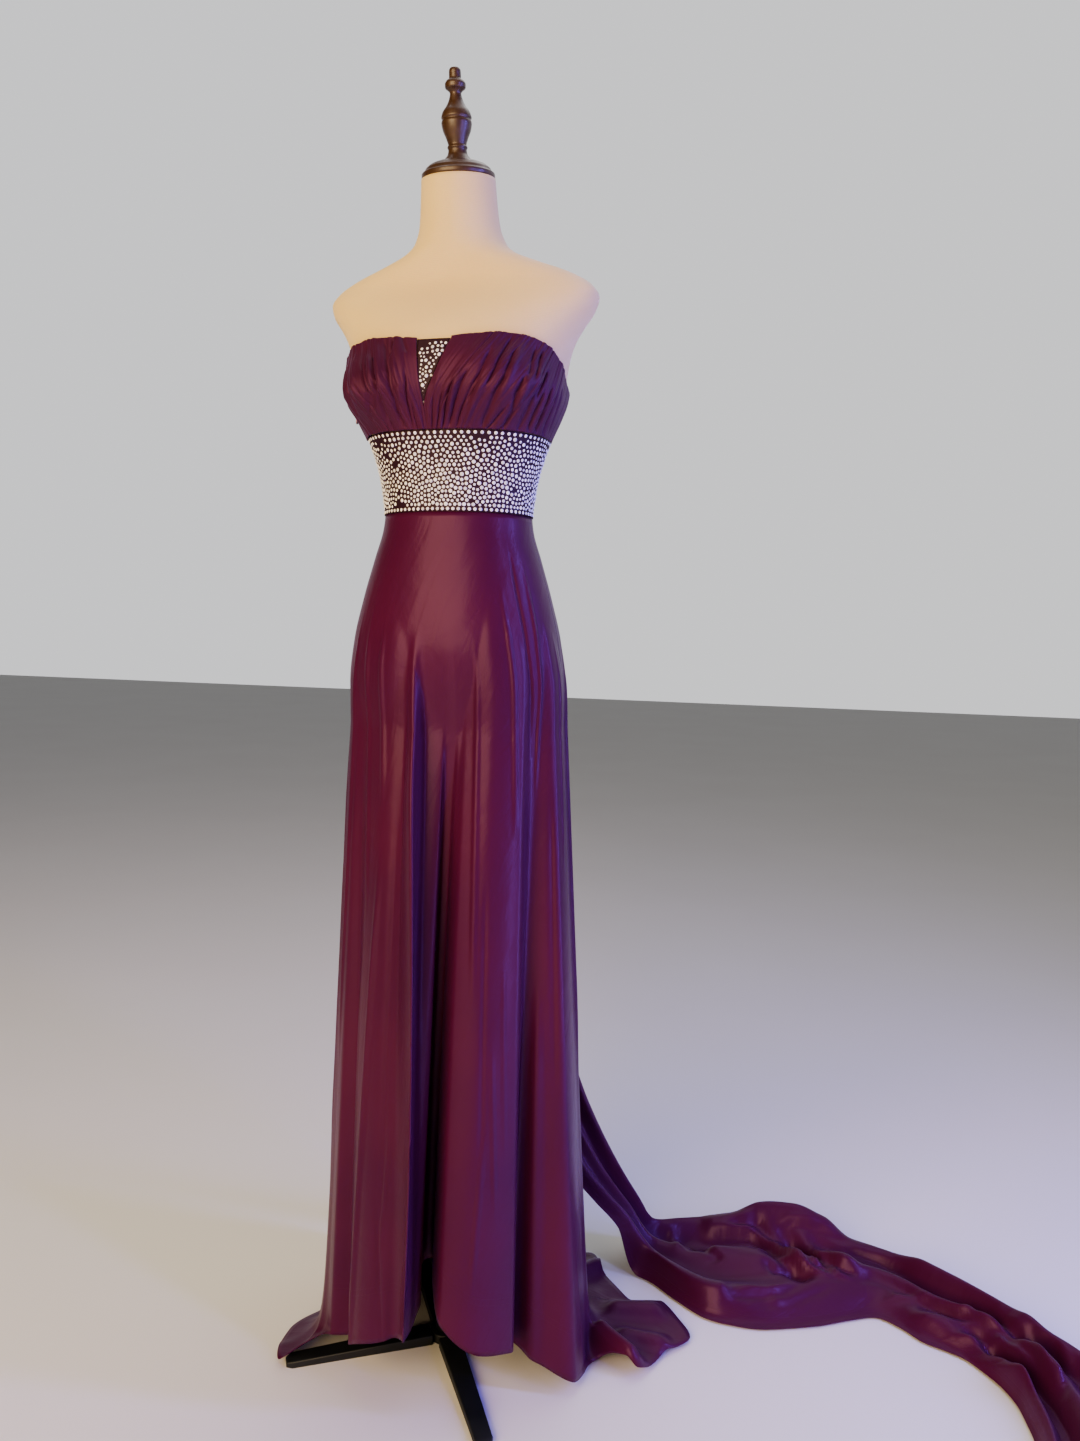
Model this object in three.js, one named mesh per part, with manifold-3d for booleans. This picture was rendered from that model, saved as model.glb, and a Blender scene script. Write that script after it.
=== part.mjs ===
// A strapless satin evening gown with a gathered bust, a beaded midriff and a long train panel,
// worn by a limbless dress form on a four-legged stand.
// Millimetres, +Z up. The origin is on the floor at the foot of the stand's pole.
// The gown's front faces -Y and its left side, as worn, faces +X.
// Angles round the body are in degrees: -90 is the centre front, 0 the left side seam,
// 90 the centre back and 180 or -180 the right side seam.
import * as THREE from 'three';
import { mergeVertices } from 'three/addons/utils/BufferGeometryUtils.js';
import Module from 'manifold-3d';

const wasm = await Module();
wasm.setup();

// Heights of the gown's seams
const HIP_END = 905;
const WAIST = 1190;
const UNDERBUST = 1292;
const SEAM = 0.3;

// Walls of cloth, and the ease between the cloth and the form
const EASE = 1.4;
const BAND_EASE = 1.7;
const CUP_EASE = 1.9;
const SKIRT_WALL = 1.6;
const BAND_WALL = 2.2;
const BODICE_WALL = 2;
const TRAIN_WALL = 1.6;
const CLOTH_REST = 0.6;
const SLOPE_STEP = 0.02;

// The stand
const POLE_RADIUS = 11;
const COLLAR = { radius: 15, bottom: 14.3, top: 56 };
const BOSS = { radius: 23, height: 14 };
const LEG = { reach: 230, inner: 23.3, width: 31, tipWidth: 24, height: 14, tipHeight: 9, bevel: 2 };
const TOE = { length: 8, width: 0.6, height: 0.7 };
const LEG_DRAPE = { over: 1.5, beside: 9, besideRun: 32, past: 10, pastRun: 34 };
const LEG_ANGLES = { leg_left: -147, leg_front: -57, leg_right: 33, leg_back: 123 };

// The neck leans forward, and the turned cap and finial lean with it
const NECK = { top: 1628, centre: -22, lean: 9 };

// Sections of the dress form, from its open end at the hips up to the neck
const FORM = [
  { z: 905, half: 146, front: 87, back: 114, centre: 0, square: 2.2, lean: 0 },
  { z: 960, half: 148, front: 94, back: 118, centre: 0, square: 2.2, lean: 0 },
  { z: 1022, half: 141, front: 99, back: 116, centre: 0, square: 2.15, lean: 0 },
  { z: 1077, half: 128, front: 96, back: 106, centre: 0, square: 2.1, lean: 0 },
  { z: 1132, half: 112, front: 87, back: 91, centre: 0, square: 2.1, lean: 0 },
  { z: 1173, half: 100, front: 80, back: 79, centre: 0, square: 2.1, lean: 0 },
  { z: 1193, half: 98, front: 78, back: 76, centre: 0, square: 2.1, lean: 0 },
  { z: 1221, half: 101, front: 80, back: 76, centre: 0, square: 2.1, lean: 0 },
  { z: 1248, half: 106, front: 83, back: 78, centre: 0, square: 2.15, lean: 0 },
  { z: 1275, half: 114, front: 88, back: 82, centre: 0, square: 2.2, lean: 0 },
  { z: 1299, half: 123, front: 94, back: 86, centre: 0, square: 2.2, lean: 0 },
  { z: 1321, half: 133, front: 101, back: 89, centre: 0, square: 2.2, lean: 0 },
  { z: 1346, half: 142, front: 107, back: 91, centre: 0, square: 2.2, lean: 0 },
  { z: 1375, half: 146, front: 108, back: 92, centre: 0, square: 2.2, lean: 0 },
  { z: 1402, half: 151, front: 104, back: 91, centre: 0, square: 2.2, lean: 0 },
  { z: 1422, half: 158, front: 98, back: 88, centre: 0, square: 2.25, lean: 0 },
  { z: 1442, half: 170, front: 88, back: 84, centre: 1, square: 2.3, lean: 0 },
  { z: 1461, half: 183, front: 76, back: 78, centre: 2, square: 2.4, lean: 0 },
  { z: 1478, half: 188, front: 66, back: 72, centre: 3, square: 2.45, lean: 0 },
  { z: 1491, half: 179, front: 61, back: 68, centre: 3, square: 2.4, lean: 0 },
  { z: 1504, half: 156, front: 60, back: 65, centre: 2, square: 2.35, lean: 0 },
  { z: 1519, half: 115, front: 60, back: 64, centre: 0, square: 2.3, lean: 1 },
  { z: 1533, half: 80, front: 60, back: 62, centre: -3, square: 2.15, lean: 2 },
  { z: 1547, half: 63, front: 58, back: 59, centre: -7, square: 2.05, lean: 4 },
  { z: 1570, half: 54, front: 53, back: 54, centre: -13, square: 2, lean: 6 },
  { z: 1598, half: 51, front: 50, back: 51, centre: -18, square: 2, lean: 8 },
  { z: NECK.top, half: 49, front: 49, back: 49, centre: NECK.centre, square: 2, lean: NECK.lean },
];
const BUST = { z: 1346, tall: 42, from: 38, wide: 27, rise: 22 };

// Folds of the skirt, round from the right side seam. at: angle; reach: how far out the cloth
// falls; hem: its height there; starts: where the fold leaves the hips; spread: the length that
// lies out on the floor; swing: how far that length turns from pointing straight out.
const FOLDS = [
  { at: -180, reach: 163, hem: 3, starts: 930, spread: 30, swing: 8 },
  { at: -169, reach: 178, hem: 3, starts: 950, spread: 52, swing: 26 },
  { at: -158, reach: 176, hem: 5, starts: 950, spread: 74, swing: 38 },
  { at: -150, reach: 171, hem: 24, starts: 960, spread: 34, swing: 22 },
  { at: -142, reach: 170, hem: 42, starts: 970, spread: 4, swing: 0 },
  { at: -134, reach: 144, hem: 46, starts: 925, spread: 0, swing: 0 },
  { at: -124, reach: 164, hem: 58, starts: 990, spread: 0, swing: 0 },
  { at: -111, reach: 174, hem: 80, starts: 1050, spread: 0, swing: 0 },
  { at: -99, reach: 171, hem: 95, starts: 1000, spread: 0, swing: 0 },
  { at: -92.5, reach: 157, hem: 106, starts: 950, spread: 0, swing: 0 },
  { at: -88.5, reach: 151, hem: 114, starts: 930, spread: 0, swing: 0 },
  { at: -85.5, reach: 136, hem: 130, starts: 920, spread: 0, swing: 0 },
  { at: -82.5, reach: 64, hem: 148, starts: 905, spread: 0, swing: 0 },
  { at: -79.5, reach: 58, hem: 152, starts: 905, spread: 0, swing: 0 },
  { at: -77, reach: 116, hem: 142, starts: 905, spread: 0, swing: 0 },
  { at: -73, reach: 166, hem: 126, starts: 940, spread: 0, swing: 0 },
  { at: -57, reach: 184, hem: 92, starts: 1060, spread: 0, swing: 0 },
  { at: -42, reach: 181, hem: 81, starts: 1040, spread: 0, swing: 0 },
  { at: -31, reach: 138, hem: 64, starts: 925, spread: 0, swing: 0 },
  { at: -17, reach: 221, hem: 17, starts: 1050, spread: 0, swing: 0 },
  { at: -5, reach: 213, hem: 9, starts: 1030, spread: 6, swing: -20 },
  { at: 5, reach: 206, hem: 5, starts: 975, spread: 30, swing: -32 },
  { at: 13, reach: 208, hem: 3, starts: 990, spread: 99, swing: -47 },
  { at: 19, reach: 206, hem: 3, starts: 980, spread: 120, swing: -29 },
  { at: 25, reach: 202, hem: 3, starts: 960, spread: 162, swing: -21 },
  { at: 30, reach: 196, hem: 3, starts: 950, spread: 156, swing: -18 },
  { at: 35, reach: 189, hem: 3, starts: 940, spread: 150, swing: -14 },
  { at: 43, reach: 187, hem: 3, starts: 945, spread: 112, swing: -32 },
  { at: 50, reach: 193, hem: 3, starts: 960, spread: 86, swing: -10 },
  { at: 57, reach: 184, hem: 3, starts: 945, spread: 118, swing: 2 },
  { at: 64, reach: 153, hem: 3, starts: 920, spread: 110, swing: 0 },
  { at: 77, reach: 192, hem: 3, starts: 960, spread: 158, swing: 4 },
  { at: 90, reach: 150, hem: 3, starts: 920, spread: 208, swing: 0 },
  { at: 104, reach: 196, hem: 3, starts: 980, spread: 206, swing: 0 },
  { at: 118, reach: 147, hem: 3, starts: 925, spread: 196, swing: -4 },
  { at: 132, reach: 197, hem: 3, starts: 990, spread: 140, swing: 0 },
  { at: 146, reach: 145, hem: 3, starts: 920, spread: 84, swing: 8 },
  { at: 161, reach: 188, hem: 3, starts: 980, spread: 34, swing: 6 },
  { at: 180, reach: 163, hem: 3, starts: 930, spread: 30, swing: 8 },
];
// How far the walls of the deep recess over the pole turn under the flute on its right.
const UNDERCUT = [
  { at: -180, turn: 0 },
  { at: -85.5, turn: 0 },
  { at: -82.5, turn: -19 },
  { at: -79.5, turn: -11 },
  { at: -77, turn: -2 },
  { at: -73, turn: 0 },
  { at: 180, turn: 0 },
];
const FLOOR_BEND = { most: 34, share: 0.5 };
const COLUMN_STEP = 6.5;
const SKIRT_LEVELS = [
  0, 0.03, 0.06, 0.09, 0.12, 0.15, 0.18, 0.21, 0.24, 0.29,
  0.37, 0.47, 0.58, 0.69, 0.78, 0.835, 0.88, 0.92, 0.96, 1,
];

// The gathered cups: top edge round the bodice, and the gathers of one cup
const TOP_EDGE = [
  { at: -90, z: 1402 },
  { at: -78, z: 1406 },
  { at: -58, z: 1409 },
  { at: -40, z: 1405 },
  { at: -24, z: 1393 },
  { at: -10, z: 1375 },
  { at: 0, z: 1362 },
  { at: 25, z: 1352 },
  { at: 55, z: 1346 },
  { at: 90, z: 1344 },
];
const INSET = { tip: 1320, top: 1402, tipAt: -93.3, leftAt: -82.3, rightAt: -96.3, setBack: 0.8 };
const GATHERS = { count: 13, crowd: 1.3, fan: 0.92, low: 0.5, mid: 2, high: 4.2, endShare: 9 };
const GATHER_SLANT = { bent: 0.4, straight: 0.6 };
const GATHER_UNEVEN = { least: 0.8, more: 0.35, turn: 2.4 };
const GATHER_PUFF = { least: 0.35, more: 0.65, from: 0.08, over: 0.9 };
const CUP_LEVELS = [0, 0.1, 0.26, 0.42, 0.58, 0.76, 1];
const INSET_CLEAR = { above: 6, right: 1.5, left: 2 };

// The train panel: where it lies on the skirt under the band, and its way down to and along the
// floor. half: half its width; turn: which way the width points; bow: how far its edges curve
// towards the skirt; wave: height of its folds.
const TRAIN_TOP = { at: 90, halfAngle: 36, levels: [1189.7, 1150, 1105, 1060], pleat: 3.5 };
const TRAIN = [
  { x: 2, y: 141, z: 985, half: 68, turn: 2, bow: 18, wave: 6 },
  { x: 12, y: 152, z: 850, half: 66, turn: 6, bow: 13, wave: 9 },
  { x: 32, y: 166, z: 680, half: 60, turn: 12, bow: 8, wave: 11 },
  { x: 54, y: 186, z: 500, half: 56, turn: 20, bow: 5, wave: 12 },
  { x: 85, y: 211, z: 348, half: 48, turn: 33, bow: 2, wave: 11 },
  { x: 128, y: 228, z: 246, half: 44, turn: 50, bow: 0, wave: 11 },
  { x: 172, y: 246, z: 160, half: 46, turn: 67, bow: 0, wave: 12 },
  { x: 216, y: 273, z: 88, half: 43, turn: 84, bow: 0, wave: 12 },
  { x: 262, y: 281, z: 32, half: 67, turn: 97, bow: 0, wave: 14 },
  { x: 345, y: 274, z: 26, half: 124, turn: 97, bow: 0, wave: 17 },
  { x: 432, y: 286, z: 34, half: 138, turn: 95, bow: 0, wave: 20 },
  { x: 526, y: 306, z: 34, half: 121, turn: 93, bow: 0, wave: 19 },
  { x: 616, y: 310, z: 30, half: 80, turn: 88, bow: 0, wave: 18 },
  { x: 692, y: 268, z: 28, half: 78, turn: 79, bow: 0, wave: 22 },
  { x: 758, y: 229, z: 28, half: 65, turn: 69, bow: 0, wave: 22 },
  { x: 814, y: 175, z: 27, half: 67, turn: 56, bow: 0, wave: 22 },
  { x: 864, y: 112, z: 25, half: 86, turn: 40, bow: 0, wave: 21 },
  { x: 887, y: 12, z: 20, half: 90, turn: 22, bow: 0, wave: 16 },
  { x: 886, y: -100, z: 14, half: 98, turn: 8, bow: 0, wave: 10 },
];
const TRAIN_COLUMNS = 19;
const TRAIN_FOLDS = { main: 2.7, side: 1.3, sideStart: 1.1, mainShare: 0.68, drift: 0.16 };
const TRAIN_LIFT = { over: 1.2, drift: 9, pleatWithin: 40, driftWithin: 130 };

// Creases of the cloth that lies crumpled on the floor: from x0, y0 to x1, y1, half the width, and
// the height, below 0 for a hollow.
const TRAIN_CRUMPLES = [
  { x0: 370, y0: 405, x1: 580, y1: 398, wide: 22, high: 22 },
  { x0: 325, y0: 345, x1: 425, y1: 372, wide: 16, high: 11 },
  { x0: 415, y0: 375, x1: 556, y1: 270, wide: 15, high: 15 },
  { x0: 470, y0: 378, x1: 600, y1: 280, wide: 15, high: 14 },
  { x0: 462, y0: 352, x1: 556, y1: 284, wide: 12, high: -22 },
  { x0: 335, y0: 276, x1: 440, y1: 322, wide: 17, high: 10 },
  { x0: 436, y0: 322, x1: 516, y1: 250, wide: 15, high: -15 },
  { x0: 480, y0: 416, x1: 690, y1: 336, wide: 16, high: -12 },
  { x0: 380, y0: 182, x1: 470, y1: 190, wide: 17, high: -10 },
  { x0: 630, y0: 222, x1: 860, y1: 216, wide: 16, high: 12 },
  { x0: 630, y0: 200, x1: 800, y1: 158, wide: 16, high: -12 },
  { x0: 650, y0: 176, x1: 838, y1: 92, wide: 16, high: 12 },
  { x0: 800, y0: 198, x1: 868, y1: 110, wide: 17, high: 13 },
];
const SKIRT_CRUMPLES = [
  { x0: 205, y0: 46, x1: 298, y1: -13, wide: 15, high: 34 },
  { x0: 232, y0: 60, x1: 330, y1: 66, wide: 15, high: 12 },
  { x0: 205, y0: 110, x1: 310, y1: 140, wide: 17, high: 15 },
  { x0: 150, y0: 175, x1: 190, y1: 235, wide: 16, high: 16 },
  { x0: 40, y0: 220, x1: 62, y1: 350, wide: 19, high: 15 },
  { x0: -30, y0: 210, x1: -34, y1: 370, wide: 20, high: 18 },
  { x0: -92, y0: 190, x1: -158, y1: 320, wide: 18, high: 16 },
  { x0: -140, y0: 130, x1: -240, y1: 196, wide: 17, high: 14 },
  { x0: 96, y0: 226, x1: 124, y1: 296, wide: 14, high: -10 },
];
const CRUMPLE_BELOW = { none: 130, full: 70, endShare: 4 };
// Where the edges of the train lie down on the floor, by share across and by height.
const TRAIN_EDGE = { from: 0.76, none: 75, full: 35 };

// On the side towards the front it lies flatter: how far its folds are calmed there, and where it
// starts to slope down to its edge, from 0 at the middle to 1.
const TRAIN_NEAR = [
  { step: 0, calm: 0, from: 0.76 },
  { step: 9, calm: 0, from: 0.76 },
  { step: 10, calm: 0.5, from: 0.5 },
  { step: 11, calm: 0.85, from: 0.25 },
  { step: 12, calm: 0.85, from: 0.2 },
  { step: 13, calm: 0.6, from: 0.35 },
  { step: 14, calm: 0.3, from: 0.5 },
  { step: 15, calm: 0, from: 0.65 },
  { step: 18, calm: 0, from: 0.76 },
];
const NEAR_WITHIN = 0.45;

// The concealed zip in the right side seam
const ZIP = { top: 1356, bottom: 1040, halfWidth: 3, wall: 0.8, lift: 4.1, levels: 14 };
const SLIDER = { z: 1344, width: 7.4, tall: 11, thick: 2.2, ear: 1.3, earTall: 4.4, earOut: 4, pin: 0.8 };
const SLIDER_SEAT = { clear: 0.48, earSunk: 0.1, pinIn: 1.4 };
const PULL = { width: 4.2, tipWidth: 5, length: 24, thick: 1.3, barrel: 2, bore: 1.15, neck: 0.6 };
const SIDE_RADIUS = 95;

const radians = (degrees) => (degrees * Math.PI) / 180;
const mix = (a, b, share) => a + (b - a) * share;
const clamp = (value, low, high) => Math.min(high, Math.max(low, value));
const smooth = (share) => clamp(share, 0, 1) ** 2 * (3 - 2 * clamp(share, 0, 1));
const signedPower = (value, power) => Math.sign(value) * Math.abs(value) ** power;

// Reads every column of a table at one value of its key column, smoothly and without overshoot.
function read(rows, key, at) {
  let k = 0;
  while (k < rows.length - 2 && at > rows[k + 1][key]) k += 1;
  const span = rows[k + 1][key] - rows[k][key];
  const share = clamp((at - rows[k][key]) / span, 0, 1);
  const rate = (i, name) => (rows[i + 1][name] - rows[i][name]) / (rows[i + 1][key] - rows[i][key]);
  const slope = (i, name) => {
    if (i === 0) return rate(0, name);
    if (i === rows.length - 1) return rate(i - 1, name);
    const before = rate(i - 1, name);
    const after = rate(i, name);
    return before * after <= 0 ? 0 : (2 * before * after) / (before + after);
  };
  const row = {};
  for (const name of Object.keys(rows[k])) {
    const a = rows[k][name];
    const b = rows[k + 1][name];
    const lift = slope(k, name) * span;
    const land = slope(k + 1, name) * span;
    row[name] =
      a +
      lift * share +
      (3 * (b - a) - 2 * lift - land) * share ** 2 +
      (lift + land - 2 * (b - a)) * share ** 3;
  }
  return row;
}

// A table that runs once round the body, given a turn more at each end.
const round = (rows) => [
  ...rows.slice(0, -1).map((row) => ({ ...row, at: row.at - 360 })),
  ...rows,
  ...rows.slice(1).map((row) => ({ ...row, at: row.at + 360 })),
];
const FOLDS_ROUND = round(FOLDS);

// A point on the dress form, moved out by ease.
function body(angle, z, ease) {
  const s = read(FORM, 'z', z);
  const c = Math.cos(radians(angle));
  const q = Math.sin(radians(angle));
  const power = 2 / s.square;
  const depth = q < 0 ? s.front : s.back;
  const fromFront = THREE.MathUtils.euclideanModulo(angle + 270, 360) - 180;
  const bump = (side) => Math.exp(-(((fromFront - side * BUST.from) / BUST.wide) ** 2));
  const bust = BUST.rise * Math.exp(-(((z - BUST.z) / BUST.tall) ** 2)) * (bump(1) + bump(-1));
  const x = (s.half + ease) * signedPower(c, power) + bust * c;
  const y = (depth + ease) * signedPower(q, power) + bust * q;
  return new THREE.Vector3(x, s.centre + y, z + y * Math.tan(radians(s.lean)));
}

// The height of a leg of the stand at a distance out along it.
const legTop = (out) => mix(LEG.height, LEG.tipHeight, clamp(out / LEG.reach, 0, 1));

// How high cloth lies at a place on the floor, because it drapes over the legs.
function restHeight(x, y) {
  let height = 0;
  for (const degrees of Object.values(LEG_ANGLES)) {
    const a = radians(degrees);
    const along = x * Math.cos(a) + y * Math.sin(a);
    const across = Math.abs(y * Math.cos(a) - x * Math.sin(a));
    const beside = smooth(1 - (across - LEG.width / 2 - LEG_DRAPE.beside) / LEG_DRAPE.besideRun);
    const past = smooth(1 - (along - LEG.reach - LEG_DRAPE.past) / LEG_DRAPE.pastRun);
    if (along > 0) height = Math.max(height, (legTop(along) + LEG_DRAPE.over) * beside * past);
  }
  return height;
}

// The height that crumples give at a place on the floor.
function crumpled(rows, x, y) {
  let height = 0;
  for (const { x0, y0, x1, y1, wide, high } of rows) {
    const length = Math.hypot(x1 - x0, y1 - y0);
    const along = ((x - x0) * (x1 - x0) + (y - y0) * (y1 - y0)) / length ** 2;
    const across = ((x - x0) * (y1 - y0) - (y - y0) * (x1 - x0)) / length;
    const ends = smooth(along * CRUMPLE_BELOW.endShare) * smooth((1 - along) * CRUMPLE_BELOW.endShare);
    height += high * Math.exp(-((across / wide) ** 2)) * ends;
  }
  return height;
}

// How near to the floor a height is, from 0 to 1.
function nearFloor(z) {
  return smooth((CRUMPLE_BELOW.none - z) / (CRUMPLE_BELOW.none - CRUMPLE_BELOW.full));
}

// The skirt's outer face, from the waist at share 0 to the hem at share 1.
function skirtPoint(angle, share) {
  const f = read(FOLDS_ROUND, 'at', angle);
  const top = WAIST - SEAM;
  const floor = f.hem + CLOTH_REST + SKIRT_WALL;
  const along = share * (top - floor + f.spread) - (top - floor);
  const bend = Math.min(FLOOR_BEND.most, f.spread * FLOOR_BEND.share);
  const curve = Math.hypot(along, bend);
  const out = (curve + along) / 2;
  const z = Math.min(top, floor + (curve - along) / 2);
  const drop = clamp((f.starts - z) / (f.starts - floor), 0, 1);
  const hip = body(angle, Math.max(z, HIP_END), EASE + SKIRT_WALL);
  const hanging = radians(angle + read(UNDERCUT, 'at', angle).turn);
  const way = radians(angle + f.swing);
  const x = mix(hip.x, f.reach * Math.cos(hanging), drop) + out * Math.cos(way);
  const y = mix(hip.y, f.reach * Math.sin(hanging), drop) + out * Math.sin(way);
  const high = z + crumpled(SKIRT_CRUMPLES, x, y) * nearFloor(z);
  return new THREE.Vector3(x, y, Math.max(high, restHeight(x, y) + CLOTH_REST + SKIRT_WALL));
}

// Spreads the columns of one skirt panel over its folds.
function foldColumns(from, to) {
  const rows = FOLDS.map((row) => row.at).filter((at) => at > from && at < to);
  const stops = [from, ...rows, to];
  const columns = [from];
  for (let k = 1; k < stops.length; k += 1) {
    const steps = Math.max(2, Math.round((stops[k] - stops[k - 1]) / COLUMN_STEP));
    for (let i = 1; i <= steps; i += 1) columns.push(mix(stops[k - 1], stops[k], i / steps));
  }
  return columns;
}

// A closed wall from a grid of outer and inner points, each asked for by column and row.
function wall(columns, rows, outer, inner) {
  const points = [];
  for (const face of [outer, inner]) {
    for (let j = 0; j < rows; j += 1) {
      for (let i = 0; i < columns; i += 1) points.push(face(i, j));
    }
  }
  const far = columns * rows;
  const at = (i, j) => j * columns + i;
  const index = [];
  const quad = (a, b, c, d) => index.push(a, b, c, a, c, d);
  for (let j = 0; j + 1 < rows; j += 1) {
    for (let i = 0; i + 1 < columns; i += 1) {
      quad(at(i, j), at(i + 1, j), at(i + 1, j + 1), at(i, j + 1));
      quad(far + at(i, j), far + at(i, j + 1), far + at(i + 1, j + 1), far + at(i + 1, j));
    }
  }
  for (let i = 0; i + 1 < columns; i += 1) {
    const last = rows - 1;
    quad(at(i, 0), far + at(i, 0), far + at(i + 1, 0), at(i + 1, 0));
    quad(at(i, last), at(i + 1, last), far + at(i + 1, last), far + at(i, last));
  }
  for (let j = 0; j + 1 < rows; j += 1) {
    const last = columns - 1;
    quad(at(0, j), at(0, j + 1), far + at(0, j + 1), far + at(0, j));
    quad(at(last, j), far + at(last, j), far + at(last, j + 1), at(last, j + 1));
  }
  return facingOut(points, index);
}

// Makes the geometry, with its faces turned to point out.
function facingOut(points, index) {
  let volume = 0;
  const cross = new THREE.Vector3();
  for (let k = 0; k < index.length; k += 3) {
    cross.crossVectors(points[index[k + 1]], points[index[k + 2]]);
    volume += points[index[k]].dot(cross);
  }
  if (volume < 0) index.reverse();
  const geometry = new THREE.BufferGeometry().setFromPoints(points);
  geometry.setIndex(index);
  geometry.computeVertexNormals();
  return geometry;
}

// A sheet of cloth with its inner face set in square to the outer one. place gives the outer
// point at any column and row, whole or part.
function sheet(columns, rows, thick, place) {
  const step = SLOPE_STEP;
  const inner = (i, j) => {
    const across = place(i + step, j).sub(place(i - step, j));
    const along = place(i, j + step).sub(place(i, j - step));
    const normal = along.cross(across).normalize();
    return place(i, j).addScaledVector(normal, -thick);
  };
  return wall(columns, rows, place, inner);
}

// Reads a list of numbers at a part-way index.
function between(list, index) {
  const k = clamp(Math.floor(index), 0, list.length - 2);
  return mix(list[k], list[k + 1], index - k);
}

// Moves the first and last of a panel's angles in by a little over half a seam.
function trimmed(columns, pointAt) {
  const share = 0.7;
  const halfSeam = (angle) => (share * SEAM) / pointAt(angle + 0.5).distanceTo(pointAt(angle - 0.5));
  const list = [...columns];
  const last = list.length - 1;
  list[0] += halfSeam(list[0]);
  list[last] -= halfSeam(list[last]);
  return list;
}

function skirtPanel(from, to) {
  const columns = foldColumns(from, to);
  const inset = SKIRT_LEVELS.map((level) => trimmed(columns, (angle) => skirtPoint(angle, level)));
  const angleAt = (i, j) => {
    const k = clamp(Math.floor(j), 0, SKIRT_LEVELS.length - 2);
    return mix(between(inset[k], i), between(inset[k + 1], i), j - k);
  };
  const place = (i, j) => skirtPoint(angleAt(i, j), between(SKIRT_LEVELS, j));
  return sheet(columns.length, SKIRT_LEVELS.length, SKIRT_WALL, place);
}

// A panel that lies on the form between two heights.
function fittedPanel(from, to, columns, rows, bottomAt, topAt, ease, thick) {
  const angles = Array.from({ length: columns }, (_, i) => mix(from, to, i / (columns - 1)));
  const middle = mix(bottomAt(from), topAt(from), 0.5);
  const list = trimmed(angles, (angle) => body(angle, middle, ease));
  const place = (out) => (i, j) =>
    body(list[i], mix(bottomAt(list[i]), topAt(list[i]), j / (rows - 1)), out);
  return wall(columns, rows, place(ease + thick), place(ease));
}

const topEdge = (angle) => {
  const folded = Math.abs(angle + 90);
  return read(TOP_EDGE, 'at', -90 + Math.min(folded, 360 - folded)).z;
};
// The edge of the inset on one side: below its tip the two cups meet there.
const insetEdge = (side, z) => {
  const share = clamp((z - INSET.tip) / (INSET.top - INSET.tip), 0, 1);
  return mix(INSET.tipAt, side > 0 ? INSET.leftAt : INSET.rightAt, share);
};
const BUST_RADIUS = 105;
const SEAM_TURN = THREE.MathUtils.radToDeg(SEAM / BUST_RADIUS);

// One gathered cup, side 1 on the left as worn and -1 on the right. Its columns follow the
// gathers, which are crowded at the middle of the band and fan out to the top edge.
function cup(side) {
  const perGather = 3;
  const columns = GATHERS.count * perGather + 1;
  const heights = [GATHERS.low, GATHERS.high, GATHERS.mid];
  const bottom = UNDERBUST + SEAM;
  const outerEdge = side > 0 ? -SEAM_TURN / 2 : -180 + SEAM_TURN / 2;
  const place = (outside) => (i, j) => {
    const share = i / (columns - 1);
    const level = CUP_LEVELS[j];
    const centreZ = mix(bottom, topEdge(insetEdge(side, INSET.top)), level);
    const centre = insetEdge(side, centreZ) + (side * SEAM_TURN) / 2;
    const low = mix(insetEdge(side, bottom) + (side * SEAM_TURN) / 2, outerEdge, share ** GATHERS.crowd);
    const high = mix(centre, outerEdge, share ** GATHERS.fan);
    const slant = smooth(level) * GATHER_SLANT.bent + level * GATHER_SLANT.straight;
    const slanted = mix(low, high, slant);
    const angle = side > 0 ? Math.max(centre, slanted) : Math.min(centre, slanted);
    const z = mix(bottom, topEdge(angle), level);
    const ends = smooth(Math.min(share, 1 - share) * GATHERS.endShare);
    const turn = GATHER_UNEVEN.turn * Math.floor(i / perGather) + side;
    const uneven = GATHER_UNEVEN.least + GATHER_UNEVEN.more * Math.sin(turn);
    const swell = Math.sin(Math.PI * clamp(level * GATHER_PUFF.over + GATHER_PUFF.from, 0, 1));
    const puff = GATHER_PUFF.least + GATHER_PUFF.more * swell;
    const raised = heights[i % perGather] * uneven * puff * ends;
    return body(angle, z, CUP_EASE + (outside ? BODICE_WALL + raised : 0));
  };
  return wall(columns, CUP_LEVELS.length, place(true), place(false));
}

// The beaded inset between the cups, a narrow V.
function bustInset() {
  const columns = 5;
  const rows = 6;
  const place = (ease) => (i, j) => {
    const z = mix(INSET.tip + INSET_CLEAR.above, INSET.top, j / (rows - 1));
    const from = insetEdge(-1, z) + INSET_CLEAR.right * SEAM_TURN;
    const to = insetEdge(1, z) - INSET_CLEAR.left * SEAM_TURN;
    return body(mix(from, to, i / (columns - 1)), z, ease);
  };
  const outer = CUP_EASE + BODICE_WALL - INSET.setBack;
  return wall(columns, rows, place(outer), place(CUP_EASE - INSET.setBack / 2));
}

// The folds of the train across its width.
function trainWave(across, along) {
  const main = Math.sin(Math.PI * TRAIN_FOLDS.main * across + TRAIN_FOLDS.drift * along);
  const start = TRAIN_FOLDS.sideStart + 2 * TRAIN_FOLDS.drift * along;
  const side = Math.sin(Math.PI * TRAIN_FOLDS.side * across + start);
  return TRAIN_FOLDS.mainShare * main + (1 - TRAIN_FOLDS.mainShare) * side;
}

const TRAIN_ROWS = TRAIN.map((row, k) => ({ ...row, step: k }));

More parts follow.
